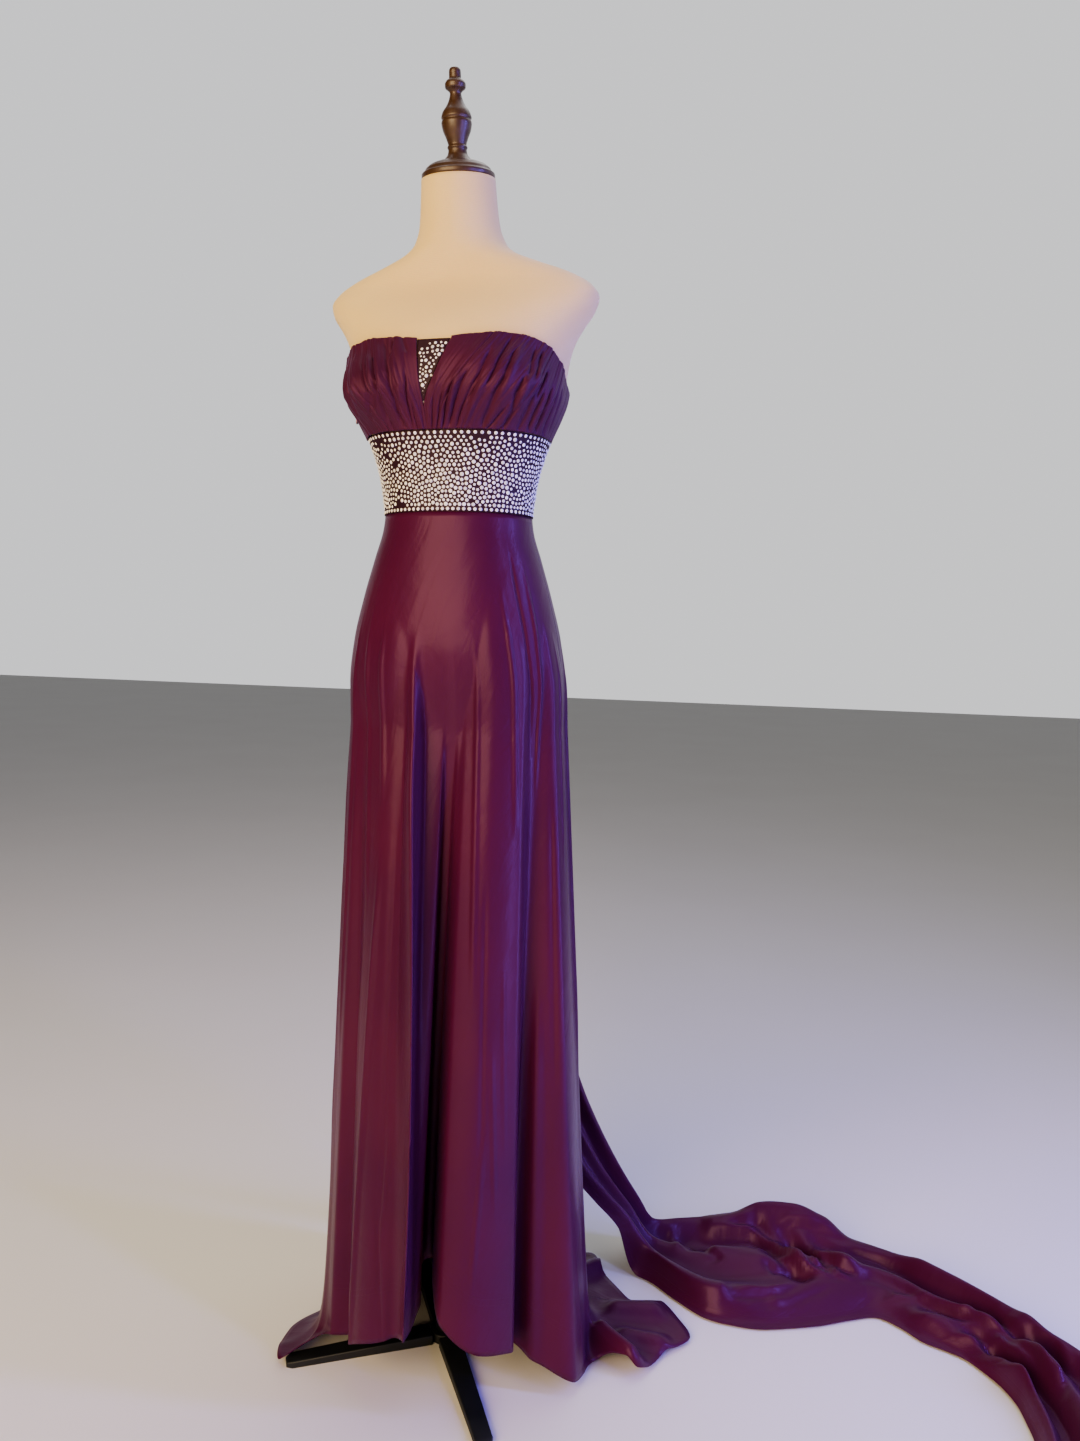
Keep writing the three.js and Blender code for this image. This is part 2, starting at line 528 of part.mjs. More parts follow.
// The train's face below the hips, at a step of its table and from -1 to 1 across.
function trainPoint(step, across) {
  const at = (s) => read(TRAIN_ROWS, 'step', s);
  const r = at(step);
  const ahead = at(step + 0.1);
  const behind = at(step - 0.1);
  const way = new THREE.Vector3(ahead.x - behind.x, ahead.y - behind.y, ahead.z - behind.z);
  const turn = radians(r.turn);
  const width = new THREE.Vector3(Math.cos(turn), Math.sin(turn), 0);
  const face = way.clone().cross(width).normalize();
  const side = read(TRAIN_NEAR, 'step', step);
  const calm = 1 - side.calm * smooth(-across / NEAR_WITHIN);
  const height = r.bow * across ** 2 + r.wave * trainWave(across, step) * calm;
  const point = new THREE.Vector3(r.x, r.y, r.z)
    .addScaledVector(width, across * r.half)
    .addScaledVector(face, height);
  const near = nearFloor(point.z);
  const rest = CLOTH_REST + 2 * TRAIN_WALL;
  const down = smooth((TRAIN_EDGE.none - point.z) / (TRAIN_EDGE.none - TRAIN_EDGE.full));
  const from = across < 0 ? side.from : TRAIN_EDGE.from;
  const outer = smooth((Math.abs(across) - from) / (1 - from));
  const crumple = crumpled(TRAIN_CRUMPLES, point.x, point.y) * near;
  point.z = mix(Math.max(point.z + crumple, Math.min(point.z, rest)), rest, down * outer);
  return point;
}

function trainPanel() {
  const { levels, halfAngle, at, pleat } = TRAIN_TOP;
  const steps = [];
  for (let k = 0; k < TRAIN.length - 1; k += 1) steps.push(k, k + 0.5);
  steps.push(TRAIN.length - 1);
  const rows = levels.length + steps.length;
  const lowest = EASE + SKIRT_WALL + TRAIN_LIFT.over;
  const place = (i, j) => {
    const across = (2 * i) / (TRAIN_COLUMNS - 1) - 1;
    if (j <= levels.length - 1) {
      const z = between(levels, Math.max(j, 0));
      const below = levels[0] - z;
      const lift = pleat * (1 + trainWave(across, 0)) * smooth(below / TRAIN_LIFT.pleatWithin);
      const drift = TRAIN_LIFT.drift * smooth(below / TRAIN_LIFT.driftWithin);
      return body(at - across * halfAngle, z, lowest + lift + drift);
    }
    const step = between(steps, j - levels.length);
    if (j < levels.length) {
      const share = j - levels.length + 1;
      return place(i, levels.length - 1).lerp(trainPoint(0, across), share);
    }
    return trainPoint(step, across);
  };
  return sheet(TRAIN_COLUMNS, rows, TRAIN_WALL, place);
}

// The dress form, closed at the hips and at the neck.
function dressForm() {
  const segments = 36;
  const levels = FORM.map((row) => row.z);
  const points = [];
  for (const z of levels) {
    for (let i = 0; i < segments; i += 1) points.push(body((360 * i) / segments - 270, z, 0));
  }
  const index = [];
  for (let j = 0; j + 1 < levels.length; j += 1) {
    for (let i = 0; i < segments; i += 1) {
      const a = j * segments + i;
      const b = j * segments + ((i + 1) % segments);
      index.push(a, b, b + segments, a, b + segments, a + segments);
    }
  }
  for (const [row, flip] of [[0, true], [levels.length - 1, false]]) {
    const centre = points.length;
    const { x, y, z } = points[row * segments]
      .clone()
      .add(points[row * segments + segments / 2])
      .multiplyScalar(0.5);
    points.push(new THREE.Vector3(x, y, z));
    for (let i = 0; i < segments; i += 1) {
      const a = row * segments + i;
      const b = row * segments + ((i + 1) % segments);
      if (flip) index.push(b, a, centre);
      else index.push(a, b, centre);
    }
  }
  return facingOut(points, index);
}

// Turned wood: the outlines of the neck cap and of the finial, as radius and height.
const CAP_OUTLINE = [
  [0, 0], [47, 0], [48.5, 2], [48.5, 5.5], [45.5, 8], [43.5, 11.5], [41, 14], [36, 17.5], [27, 20.5],
  [22, 22], [0, 22],
];
const FINIAL_OUTLINE = [
  [0, 22.3], [20, 22.3], [16.5, 26], [13, 31], [12.2, 36], [13.4, 39], [12, 42], [14.5, 50], [18.6, 60],
  [20, 68], [18.8, 72], [20, 74.5], [18, 81], [13, 88], [9.4, 95], [7.4, 103], [9.5, 106.5], [13.4, 110],
  [13.6, 114], [11.5, 118], [8, 121], [7.6, 130], [5.4, 133.5], [0, 134.5],
];
const turned = (outline, segments) =>
  new THREE.LatheGeometry(outline.map(([r, h]) => new THREE.Vector2(r, h)), segments)
    .rotateX(Math.PI / 2);

// One leg: a tapered bar with bevelled upper edges, lying on the floor.
function standLeg() {
  const ring = (out, width, height) => {
    const half = width / 2;
    const b = LEG.bevel;
    return [
      [-half, 0], [half, 0], [half, height - b], [half - b, height], [b - half, height], [-half, height - b],
    ].map(([y, z]) => new THREE.Vector3(out, y, z));
  };
  const rings = [
    ring(LEG.inner, LEG.width, LEG.height),
    ring(LEG.reach - TOE.length, LEG.tipWidth, LEG.tipHeight),
    ring(LEG.reach, LEG.tipWidth * TOE.width, LEG.tipHeight * TOE.height),
  ];
  const sides = rings[0].length;
  const points = rings.flat();
  const index = [];
  for (let j = 0; j + 1 < rings.length; j += 1) {
    for (let i = 0; i < sides; i += 1) {
      const a = j * sides + i;
      const b = j * sides + ((i + 1) % sides);
      index.push(a, b, b + sides, a, b + sides, a + sides);
    }
  }
  const end = (rings.length - 1) * sides;
  for (let i = 1; i + 1 < sides; i += 1) {
    index.push(0, i + 1, i, end, end + i, end + i + 1);
  }
  return facingOut(points, index);
}

// A closed geometry as a solid for joining and cutting, and back again.
function solid(geometry) {
  const bare = geometry.clone();
  bare.deleteAttribute('normal');
  bare.deleteAttribute('uv');
  const merged = mergeVertices(bare, 1e-4);
  return new wasm.Manifold(
    new wasm.Mesh({
      numProp: 3,
      vertProperties: new Float32Array(merged.attributes.position.array),
      triVerts: new Uint32Array(merged.index.array),
    }),
  );
}
function geometryOf(made) {
  const mesh = made.getMesh();
  const geometry = new THREE.BufferGeometry();
  geometry.setAttribute('position', new THREE.BufferAttribute(mesh.vertProperties, 3));
  geometry.setIndex(new THREE.BufferAttribute(mesh.triVerts, 1));
  geometry.computeVertexNormals();
  return geometry;
}

// The slider's pin, on which the pull swings, runs along Y outside the right side seam.
const sliderFace = body(180, SLIDER.z, EASE + ZIP.lift + ZIP.wall + SLIDER_SEAT.clear).x;
const pinX = sliderFace - SLIDER.thick - SLIDER.earOut + SLIDER_SEAT.pinIn;

function zipTape() {
  const columns = 4;
  const turn = THREE.MathUtils.radToDeg(ZIP.halfWidth / SIDE_RADIUS);
  const place = (ease) => (i, j) =>
    body(
      mix(180 - turn, 180 + turn, i / (columns - 1)) - (i > (columns - 1) / 2 ? 360 : 0),
      mix(ZIP.bottom, ZIP.top, j / (ZIP.levels - 1)),
      EASE + ease,
    );
  return wall(columns, ZIP.levels, place(ZIP.lift + ZIP.wall), place(ZIP.lift));
}

function zipSlider() {
  const { width, tall, thick, ear, earTall, earOut, pin } = SLIDER;
  const block = (x, y, z, cx, cy, cz) => solid(new THREE.BoxGeometry(x, y, z).translate(cx, cy, cz));
  const plate = block(thick, width, tall, sliderFace - thick / 2, 0, SLIDER.z);
  const earY = width / 2 - ear / 2;
  const earX = sliderFace - thick - earOut / 2 + SLIDER_SEAT.earSunk;
  const ears = [-1, 1].map((side) => block(earOut, ear, earTall, earX, side * earY, SLIDER.z));
  const rod = solid(new THREE.CylinderGeometry(pin, pin, width - ear, 12).translate(pinX, 0, SLIDER.z));
  return geometryOf(ears.reduce((made, part) => made.add(part), plate).add(rod));
}

function zipPull() {
  const { width, tipWidth, length, thick, barrel, bore, neck } = PULL;
  const shape = new THREE.Shape();
  shape.moveTo(-width / 2, -barrel * neck);
  shape.lineTo(width / 2, -barrel * neck);
  shape.lineTo(tipWidth / 2, -length + tipWidth / 2);
  shape.absarc(0, -length + tipWidth / 2, tipWidth / 2, 0, -Math.PI, true);
  shape.closePath();
  const tab = new THREE.ExtrudeGeometry(shape, { depth: thick, bevelEnabled: false, curveSegments: 8 })
    .translate(0, 0, -thick / 2)
    .rotateX(Math.PI / 2)
    .rotateZ(Math.PI / 2);
  const eye = new THREE.CylinderGeometry(barrel, barrel, width, 16);
  const hole = new THREE.CylinderGeometry(bore, bore, width + 1, 16);
  return geometryOf(solid(tab).add(solid(eye)).subtract(solid(hole)));
}

const finish = (color, roughness, metalness = 0) =>
  new THREE.MeshStandardMaterial({ color, roughness, metalness });
const satin = () => finish(0x4c1832, 0.36);
const chiffon = () => finish(0x511a36, 0.62);
const beaded = () => finish(0xb9a9ab, 0.3);
const linen = () => finish(0xe6d6b8, 0.9);
const wood = () => finish(0x4d2a1c, 0.42);
const blackMetal = () => finish(0x14181a, 0.5, 0.4);
const zipMetal = () => finish(0x5b2740, 0.4, 0.6);

const gown = new THREE.Group();
const add = (name, geometry, material, parent = gown) => {
  const mesh = new THREE.Mesh(geometry, material);
  mesh.name = name;
  parent.add(mesh);
  return mesh;
};

add('cup_left', cup(1), chiffon());
add('cup_right', cup(-1), chiffon());
add('bust_inset', bustInset(), beaded());
const waist = () => WAIST;
const underbust = () => UNDERBUST;
const cupSeam = () => UNDERBUST + SEAM;
add('bodice_back', fittedPanel(0, 180, 21, 4, cupSeam, topEdge, CUP_EASE, BODICE_WALL), chiffon());
add('band_front', fittedPanel(-180, 0, 25, 5, waist, underbust, BAND_EASE, BAND_WALL), beaded());
add('band_back', fittedPanel(0, 180, 23, 5, waist, underbust, BAND_EASE, BAND_WALL), beaded());
add('skirt_front', skirtPanel(-180, 0), satin());
add('skirt_back_left', skirtPanel(0, 90), satin());
add('skirt_back_right', skirtPanel(90, 180), satin());
add('train_panel', trainPanel(), satin());
add('zip_tape', zipTape(), satin());
add('zip_slider', zipSlider(), zipMetal());
add('zip_pull', zipPull(), zipMetal()).position.set(pinX, 0, SLIDER.z);

add('dress_form', dressForm(), linen());
const neck = new THREE.Group();
neck.position.set(0, NECK.centre, NECK.top + SEAM);
neck.rotation.x = radians(NECK.lean);
gown.add(neck);
add('neck_cap', turned(CAP_OUTLINE, 28), wood(), neck);
add('finial', turned(FINIAL_OUTLINE, 18), wood(), neck);

const upright = (radius, bottom, top, segments) =>
  new THREE.CylinderGeometry(radius, radius, top - bottom, segments)
    .rotateX(Math.PI / 2)
    .translate(0, 0, (top + bottom) / 2);
const ring = solid(upright(COLLAR.radius, COLLAR.bottom, COLLAR.top, 24));
const tube = solid(upright(POLE_RADIUS + SEAM, COLLAR.bottom - 1, COLLAR.top + 1, 24));
add('pole', upright(POLE_RADIUS, COLLAR.bottom, HIP_END - SEAM, 24), blackMetal());
add('pole_collar', geometryOf(ring.subtract(tube)), blackMetal());
add('stand_boss', upright(BOSS.radius, 0, BOSS.height, 32), blackMetal());
for (const [name, degrees] of Object.entries(LEG_ANGLES)) {
  add(name, standLeg(), blackMetal()).rotation.z = radians(degrees);
}

export default gown;
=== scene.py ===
"""A strapless plum satin evening gown with a gathered bust, a beaded midriff and a long train
panel, on a linen dress form with a black four-footed stand.

Sizes are in millimetres until a mesh is made. The gown's front faces -Y and its left side, as
worn, faces +X. Angles round the body are in degrees: -90 is the centre front, 0 the left side
seam, 90 the centre back and 180 the right side seam.
"""

import math

import bpy
import numpy as np
from mathutils import Matrix


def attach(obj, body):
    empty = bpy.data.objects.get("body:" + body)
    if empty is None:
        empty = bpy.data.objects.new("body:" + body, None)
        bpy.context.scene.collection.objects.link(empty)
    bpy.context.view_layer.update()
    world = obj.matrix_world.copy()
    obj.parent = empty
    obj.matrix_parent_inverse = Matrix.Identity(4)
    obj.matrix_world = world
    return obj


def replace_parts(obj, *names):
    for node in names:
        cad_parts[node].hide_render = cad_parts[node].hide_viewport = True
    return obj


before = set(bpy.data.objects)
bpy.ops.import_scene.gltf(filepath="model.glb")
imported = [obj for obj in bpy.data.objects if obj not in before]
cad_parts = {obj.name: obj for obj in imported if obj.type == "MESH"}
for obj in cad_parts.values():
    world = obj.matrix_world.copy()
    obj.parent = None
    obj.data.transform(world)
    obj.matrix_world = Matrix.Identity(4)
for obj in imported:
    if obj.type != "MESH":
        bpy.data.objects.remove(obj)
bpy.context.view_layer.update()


# Dress form
# A light foam body without arms or legs, covered with cream linen jersey that is stretched
# smooth and sewn shut under the neck block. It slides down over the pole of its stand.

# Sections up the form: height, half width, depth in front, depth behind, centre in depth,
# squareness and forward lean.
FORM = [
    (905, 146, 87, 114, 0, 2.2, 0),
    (960, 148, 94, 118, 0, 2.2, 0),
    (1022, 141, 99, 116, 0, 2.15, 0),
    (1077, 128, 96, 106, 0, 2.1, 0),
    (1132, 112, 87, 91, 0, 2.1, 0),
    (1173, 100, 80, 79, 0, 2.1, 0),
    (1193, 98, 78, 76, 0, 2.1, 0),
    (1221, 101, 80, 76, 0, 2.1, 0),
    (1248, 106, 83, 78, 0, 2.15, 0),
    (1275, 114, 88, 82, 0, 2.2, 0),
    (1299, 123, 94, 86, 0, 2.2, 0),
    (1321, 133, 101, 89, 0, 2.2, 0),
    (1346, 142, 107, 91, 0, 2.2, 0),
    (1375, 146, 108, 92, 0, 2.2, 0),
    (1402, 151, 104, 91, 0, 2.2, 0),
    (1422, 158, 98, 88, 0, 2.25, 0),
    (1442, 170, 88, 84, 1, 2.3, 0),
    (1461, 183, 76, 78, 2, 2.4, 0),
    (1478, 188, 66, 72, 3, 2.45, 0),
    (1491, 179, 61, 68, 3, 2.4, 0),
    (1504, 156, 60, 65, 2, 2.35, 0),
    (1519, 115, 60, 64, 0, 2.3, 1),
    (1533, 80, 60, 62, -3, 2.15, 2),
    (1547, 63, 58, 59, -7, 2.05, 4),
    (1570, 54, 53, 54, -13, 2, 6),
    (1598, 51, 50, 51, -18, 2, 8),
    (1628, 49, 49, 49, -22, 2, 9),
]
BUST = {"z": 1346, "tall": 42, "from": 38, "wide": 27, "rise": 22}
FORM_ROWS, FORM_COLUMNS = 160, 160


def read(table, at):
    """Reads a table's other columns at values of its first, smoothly and without overshoot."""
    table = np.asarray(table, float)
    keys, values = table[:, 0], table[:, 1:]
    rate = np.diff(values, axis=0) / np.diff(keys)[:, None]
    before, after = rate[:-1], rate[1:]
    same_way = before * after > 0
    slope = np.zeros_like(values)
    slope[0], slope[-1] = rate[0], rate[-1]
    total = np.where(same_way, before + after, 1)
    slope[1:-1] = np.where(same_way, 2 * before * after / total, 0)
    at = np.asarray(at, float)
    k = np.clip(np.searchsorted(keys, at, side="right") - 1, 0, len(keys) - 2)
    span = (keys[k + 1] - keys[k])[..., None]
    share = np.clip((at - keys[k])[..., None] / span, 0, 1)
    rise = values[k + 1] - values[k]
    lift, land = slope[k] * span, slope[k + 1] * span
    made = values[k] + lift * share
    made += (3 * rise - 2 * lift - land) * share**2 + (lift + land - 2 * rise) * share**3
    return np.moveaxis(made, -1, 0)


def on_form(angle, z, out):
    """Points on the dress form, moved out by a distance."""
    angle, z, out = np.broadcast_arrays(angle, z, out)
    half, front, back, centre, square, lean = read(FORM, z)
    c, q = np.cos(np.radians(angle)), np.sin(np.radians(angle))
    depth = np.where(q < 0, front, back)
    from_front = np.mod(angle + 270, 360) - 180
    high = BUST["rise"] * np.exp(-(((z - BUST["z"]) / BUST["tall"]) ** 2))
    sides = [np.exp(-(((from_front - s * BUST["from"]) / BUST["wide"]) ** 2)) for s in (-1, 1)]
    bust = high * (sides[0] + sides[1])
    x = (half + out) * np.sign(c) * np.abs(c) ** (2 / square) + bust * c
    y = (depth + out) * np.sign(q) * np.abs(q) ** (2 / square) + bust * q
    return np.stack([x, centre + y, z + y * np.tan(np.radians(lean))], axis=-1)


def add_piece(name, points, faces, material, body="gown", cloth_mm=None):
    """Makes a smooth mesh piece from points in millimetres, and lets it ride on its body. cloth_mm
    gives each point's place on the flat cloth."""
    mesh = bpy.data.meshes.new(name)
    mesh.from_pydata((np.asarray(points) * 0.001).tolist(), [], [list(face) for face in faces])
    if cloth_mm is not None:
        corner = np.zeros(len(mesh.loops), np.int32)
        mesh.loops.foreach_get("vertex_index", corner)
        layer = mesh.uv_layers.new(name="cloth")
        layer.data.foreach_set("uv", (np.asarray(cloth_mm)[corner] * 0.001).astype(np.float32).ravel())
    mesh.shade_smooth()
    mesh.materials.append(material)
    piece = bpy.data.objects.new(name, mesh)
    bpy.context.scene.collection.objects.link(piece)
    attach(piece, body)
    return piece


def hex_colour(code):
    """A linear colour from an sRGB hex code."""
    parts = [int(code[i : i + 2], 16) / 255 for i in (1, 3, 5)]
    return tuple(c / 12.92 if c <= 0.04045 else ((c + 0.055) / 1.055) ** 2.4 for c in parts) + (1.0,)


def add_node(material, kind, inputs={}, **settings):
    """Adds a shader node, with its inputs as values or as links and its own settings. Gives its
    outputs."""
    made = material.node_tree.nodes.new("ShaderNode" + kind)
    for name, value in settings.items():
        setattr(made, name, value)
    for name, value in inputs.items():
        if isinstance(value, bpy.types.NodeSocket):
            material.node_tree.links.new(value, made.inputs[name])
        else:
            made.inputs[name].default_value = value
    return made.outputs


def new_material(name):
    """An empty node material, named for its finish."""
    material = bpy.data.materials.new(name)
    material.use_nodes = True
    material.node_tree.nodes.clear()
    return material


def loop_faces(rows, columns):
    """Quads of a tube of closed rings."""
    j, i = np.meshgrid(np.arange(rows - 1), np.arange(columns), indexing="ij")
    a, b = j * columns + i, j * columns + (i + 1) % columns
    return np.stack([a, b, b + columns, a + columns], axis=-1).reshape(-1, 4)


# Linen jersey: a fine cotton and linen knit, stretched over foam. It is matt and slightly hairy,
# and its 1.1 mm courses show as faint level lines.
LINEN_THREAD_MM = 1.1
linen = new_material("linen_jersey")
place = add_node(linen, "TexCoord")
thread_scale = 1000 / LINEN_THREAD_MM / 2
across = add_node(
    linen, "TexWave", {
        "Vector": place["Object"], "Scale": thread_scale / math.pi, "Distortion": 1.2,
        "Detail": 1.0,
    },
    wave_type="BANDS", bands_direction="Z",
)
slub = add_node(
    linen, "TexNoise",
    {"Vector": place["Object"], "Scale": 420.0, "Detail": 3.0, "Roughness": 0.6},
)
patch = add_node(
    linen, "TexNoise", {"Vector": place["Object"], "Scale": 9.0, "Detail": 3.0, "Roughness": 0.5}
)
tone = add_node(
    linen, "Mix", {
        "Factor": patch["Fac"], "A": hex_colour("#e2c487"), "B": hex_colour("#ecd59b"),
    },
    data_type="RGBA",
)
worn = add_node(
    linen, "Mix", {
        "Factor": 0.12, "A": tone["Result"], "B": slub["Color"],
    },
    data_type="RGBA", blend_type="MULTIPLY",
)
height = add_node(linen, "Math", {0: across["Fac"], 1: slub["Fac"]}, operation="ADD")
bump = add_node(linen, "Bump", {"Height": height["Value"], "Strength": 0.16, "Distance": 0.0004})
shade = add_node(
    linen, "BsdfPrincipled", {
        "Base Color": worn["Result"], "Roughness": 0.92, "IOR": 1.5, "Specular IOR Level": 0.25,
        "Sheen Weight": 0.25, "Sheen Roughness": 0.6, "Normal": bump["Normal"],
    },
)
add_node(linen, "OutputMaterial", {"Surface": shade["BSDF"]})

form_z = np.linspace(FORM[0][0], FORM[-1][0], FORM_ROWS)
form_angle = np.arange(FORM_COLUMNS) * 360 / FORM_COLUMNS
rings = on_form(form_angle[None, :], form_z[:, None], 0.0)
form_points = np.concatenate([rings.reshape(-1, 3), rings[:1].mean(1), rings[-1:].mean(1)])
count = FORM_ROWS * FORM_COLUMNS
turn = np.arange(FORM_COLUMNS)
onward = (turn + 1) % FORM_COLUMNS
top_row = count - FORM_COLUMNS
form_faces = loop_faces(FORM_ROWS, FORM_COLUMNS).tolist()
form_faces += [(int(b), int(a), count) for a, b in zip(turn, onward)]
form_faces += [(int(top_row + a), int(top_row + b), count + 1) for a, b in zip(turn, onward)]
form_cover = add_piece("form_cover", form_points, form_faces, linen)
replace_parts(form_cover, "dress_form")


# Neck cap and finial
# Two pieces turned from one dark-stained hardwood, screwed together on the neck block: a stepped
# cap with a flat rim, and a finial with a ring, a bulb, a long cove and a ball.
NECK = {"centre": -22, "base": 1628.3, "lean": 9}
CAP_OUTLINE = [
    (0, 0), (46.4, 0), (47.6, 0.6), (48.5, 2), (48.5, 5.5), (47.6, 6.9), (45.5, 8), (44.4, 9.4),
    (43.5, 11.5), (42.4, 13), (41, 14), (38.8, 16), (36, 17.5), (31.6, 19.3), (27, 20.5),
    (24.4, 21.4), (22, 22), (0, 22),
]
FINIAL_OUTLINE = [
    (0, 22.3), (20, 22.3), (16.5, 26), (13, 31), (12.2, 36), (13.4, 39), (12, 42), (14.5, 50),
    (18.6, 60), (20, 68), (18.8, 72), (20, 74.5), (18, 81), (13, 88), (9.4, 95), (7.4, 103),
    (9.5, 106.5), (13.4, 110), (13.6, 114), (11.5, 118), (8, 121), (7.6, 130), (5.4, 133.5), (0, 134.5),
]
TURNED_SEGMENTS = 96


def turned(name, outline, between, material, stand_on=None):
    """A lathe-turned piece: its outline is made finer along a smooth curve, then spun round."""
    outline = np.array(outline, float)
    step = np.arange(len(outline))
    fine = np.linspace(0, len(outline) - 1, (len(outline) - 1) * between + 1)
    inside = np.concatenate([step[:, None], outline], axis=1)
    radius, high = read(inside, fine)
    around = np.linspace(0, 2 * math.pi, TURNED_SEGMENTS, endpoint=False)
    radius = np.maximum(radius, 0.02)
    x = radius[:, None] * np.cos(around)
    y = radius[:, None] * np.sin(around)
    z = np.broadcast_to(high[:, None], x.shape)
    points = np.stack([x, y, z], axis=-1).reshape(-1, 3)
    if stand_on is not None:
        points = points @ np.array(stand_on[0]).T + np.array(stand_on[1])
    faces = loop_faces(len(fine), TURNED_SEGMENTS).tolist()
    last = (len(fine) - 1) * TURNED_SEGMENTS
    faces.append(list(range(TURNED_SEGMENTS))[::-1])
    faces.append([last + k for k in range(TURNED_SEGMENTS)])
    return add_piece(name, points, faces, material)


# Turned beech, stained dark walnut and rubbed with a satin lacquer: dark brown with lighter
# streaks of grain up its length, and a soft gloss.
GRAIN_MM = 3.2
wood = new_material("walnut_stained_beech")
place = add_node(wood, "TexCoord")
squeezed = add_node(
    wood, "Mapping",
    {"Vector": place["Object"], "Scale": (1.0, 1.0, 0.12), "Rotation": (0.1, 0.05, 0.0)},
)
grain = add_node(
    wood, "TexNoise", {
        "Vector": squeezed["Vector"], "Scale": 1000 / GRAIN_MM / 2, "Detail": 6.0,
        "Roughness": 0.65,
    },
)
pores = add_node(wood, "TexNoise", {"Vector": squeezed["Vector"], "Scale": 1500.0, "Detail": 2.0})
tone = add_node(
    wood, "Mix", {
        "Factor": grain["Fac"], "A": hex_colour("#2c1c10"), "B": hex_colour("#573c26"),
    },
    data_type="RGBA",
)
bump = add_node(wood, "Bump", {"Height": pores["Fac"], "Strength": 0.12, "Distance": 0.0003})
gloss = add_node(wood, "MapRange", {"Value": grain["Fac"], "To Min": 0.34, "To Max": 0.5})
shade = add_node(
    wood, "BsdfPrincipled", {
        "Base Color": tone["Result"], "Roughness": gloss["Result"], "IOR": 1.5,
        "Coat Weight": 0.35, "Coat Roughness": 0.3, "Normal": bump["Normal"],
    },
)
add_node(wood, "OutputMaterial", {"Surface": shade["BSDF"]})

lean = Matrix.Rotation(math.radians(NECK["lean"]), 3, "X")
on_neck = ([list(row) for row in lean], (0, NECK["centre"], NECK["base"]))
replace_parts(turned("neck_cap_turned", CAP_OUTLINE, 2, wood, on_neck), "neck_cap")
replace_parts(turned("finial_turned", FINIAL_OUTLINE, 5, wood, on_neck), "finial")


# Stand
# A steel tube with a clamp collar over a round boss, and four tapered flat feet screwed into it,
# all powder-coated black.
POLE = {"radius": 11, "bottom": 14.3, "top": 904.7, "bevel": 0.8}
COLLAR = {"radius": 15, "bottom": 14.3, "top": 56, "bevel": 1.6}
BOSS = {"radius": 23, "bottom": 0, "top": 14, "bevel": 1.8}
COLLAR_BORE = 11.3
LEG = {"reach": 230, "inner": 23.3, "width": 31, "tip_width": 24, "height": 14, "tip_height": 9, "round": 2}
LEG_ANGLES = {"left": -147, "front": -57, "right": 33, "back": 123}
LEG_TOE = {"start": 222, "width": 0.6, "height": 0.7}

# Powder-coated steel: baked polyester powder, near black, with a very fine orange peel and a dull
# gloss, a little brighter where hands and shoes rub the edges.
POWDER_MM = 0.6
black_steel = new_material("black_powder_coated_steel")
place = add_node(black_steel, "TexCoord")
peel = add_node(
    black_steel, "TexNoise",
    {"Vector": place["Object"], "Scale": 1000 / POWDER_MM / 2, "Detail": 2.0},
)
rubbed = add_node(
    black_steel, "TexNoise",
    {"Vector": place["Object"], "Scale": 30.0, "Detail": 4.0, "Roughness": 0.7},
)
tone = add_node(
    black_steel, "Mix", {
        "Factor": rubbed["Fac"], "A": hex_colour("#101315"), "B": hex_colour("#1d2123"),
    },
    data_type="RGBA",
)
gloss = add_node(
    black_steel, "MapRange",
    {"Value": rubbed["Fac"], "From Min": 0.3, "From Max": 0.7, "To Min": 0.4, "To Max": 0.58},
)
bump = add_node(black_steel, "Bump", {"Height": peel["Fac"], "Strength": 0.1, "Distance": 0.0002})
shade = add_node(
    black_steel, "BsdfPrincipled", {
        "Base Color": tone["Result"], "Roughness": gloss["Result"], "IOR": 1.5,
        "Normal": bump["Normal"],
    },
)
add_node(black_steel, "OutputMaterial", {"Surface": shade["BSDF"]})


def upright(radius, bottom, top, bevel, inner=0.0):
    """The outline of an upright round bar or ring with rounded edges."""
    turns = np.radians([0, 30, 60, 90])
    arc = [(radius - bevel + bevel * math.sin(a), bevel - bevel * math.cos(a)) for a in turns]
    low = [(r, bottom + h) for r, h in arc]
    high = [(r, top - h) for r, h in reversed(arc)]
    return [(inner, bottom), *low, *high, (inner, top)]


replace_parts(turned("pole_tube", upright(**POLE), 1, black_steel), "pole")
collar_outline = upright(**COLLAR, inner=COLLAR_BORE)
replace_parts(turned("pole_collar_clamp", collar_outline, 1, black_steel), "pole_collar")
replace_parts(turned("boss_hub", upright(**BOSS), 1, black_steel), "stand_boss")

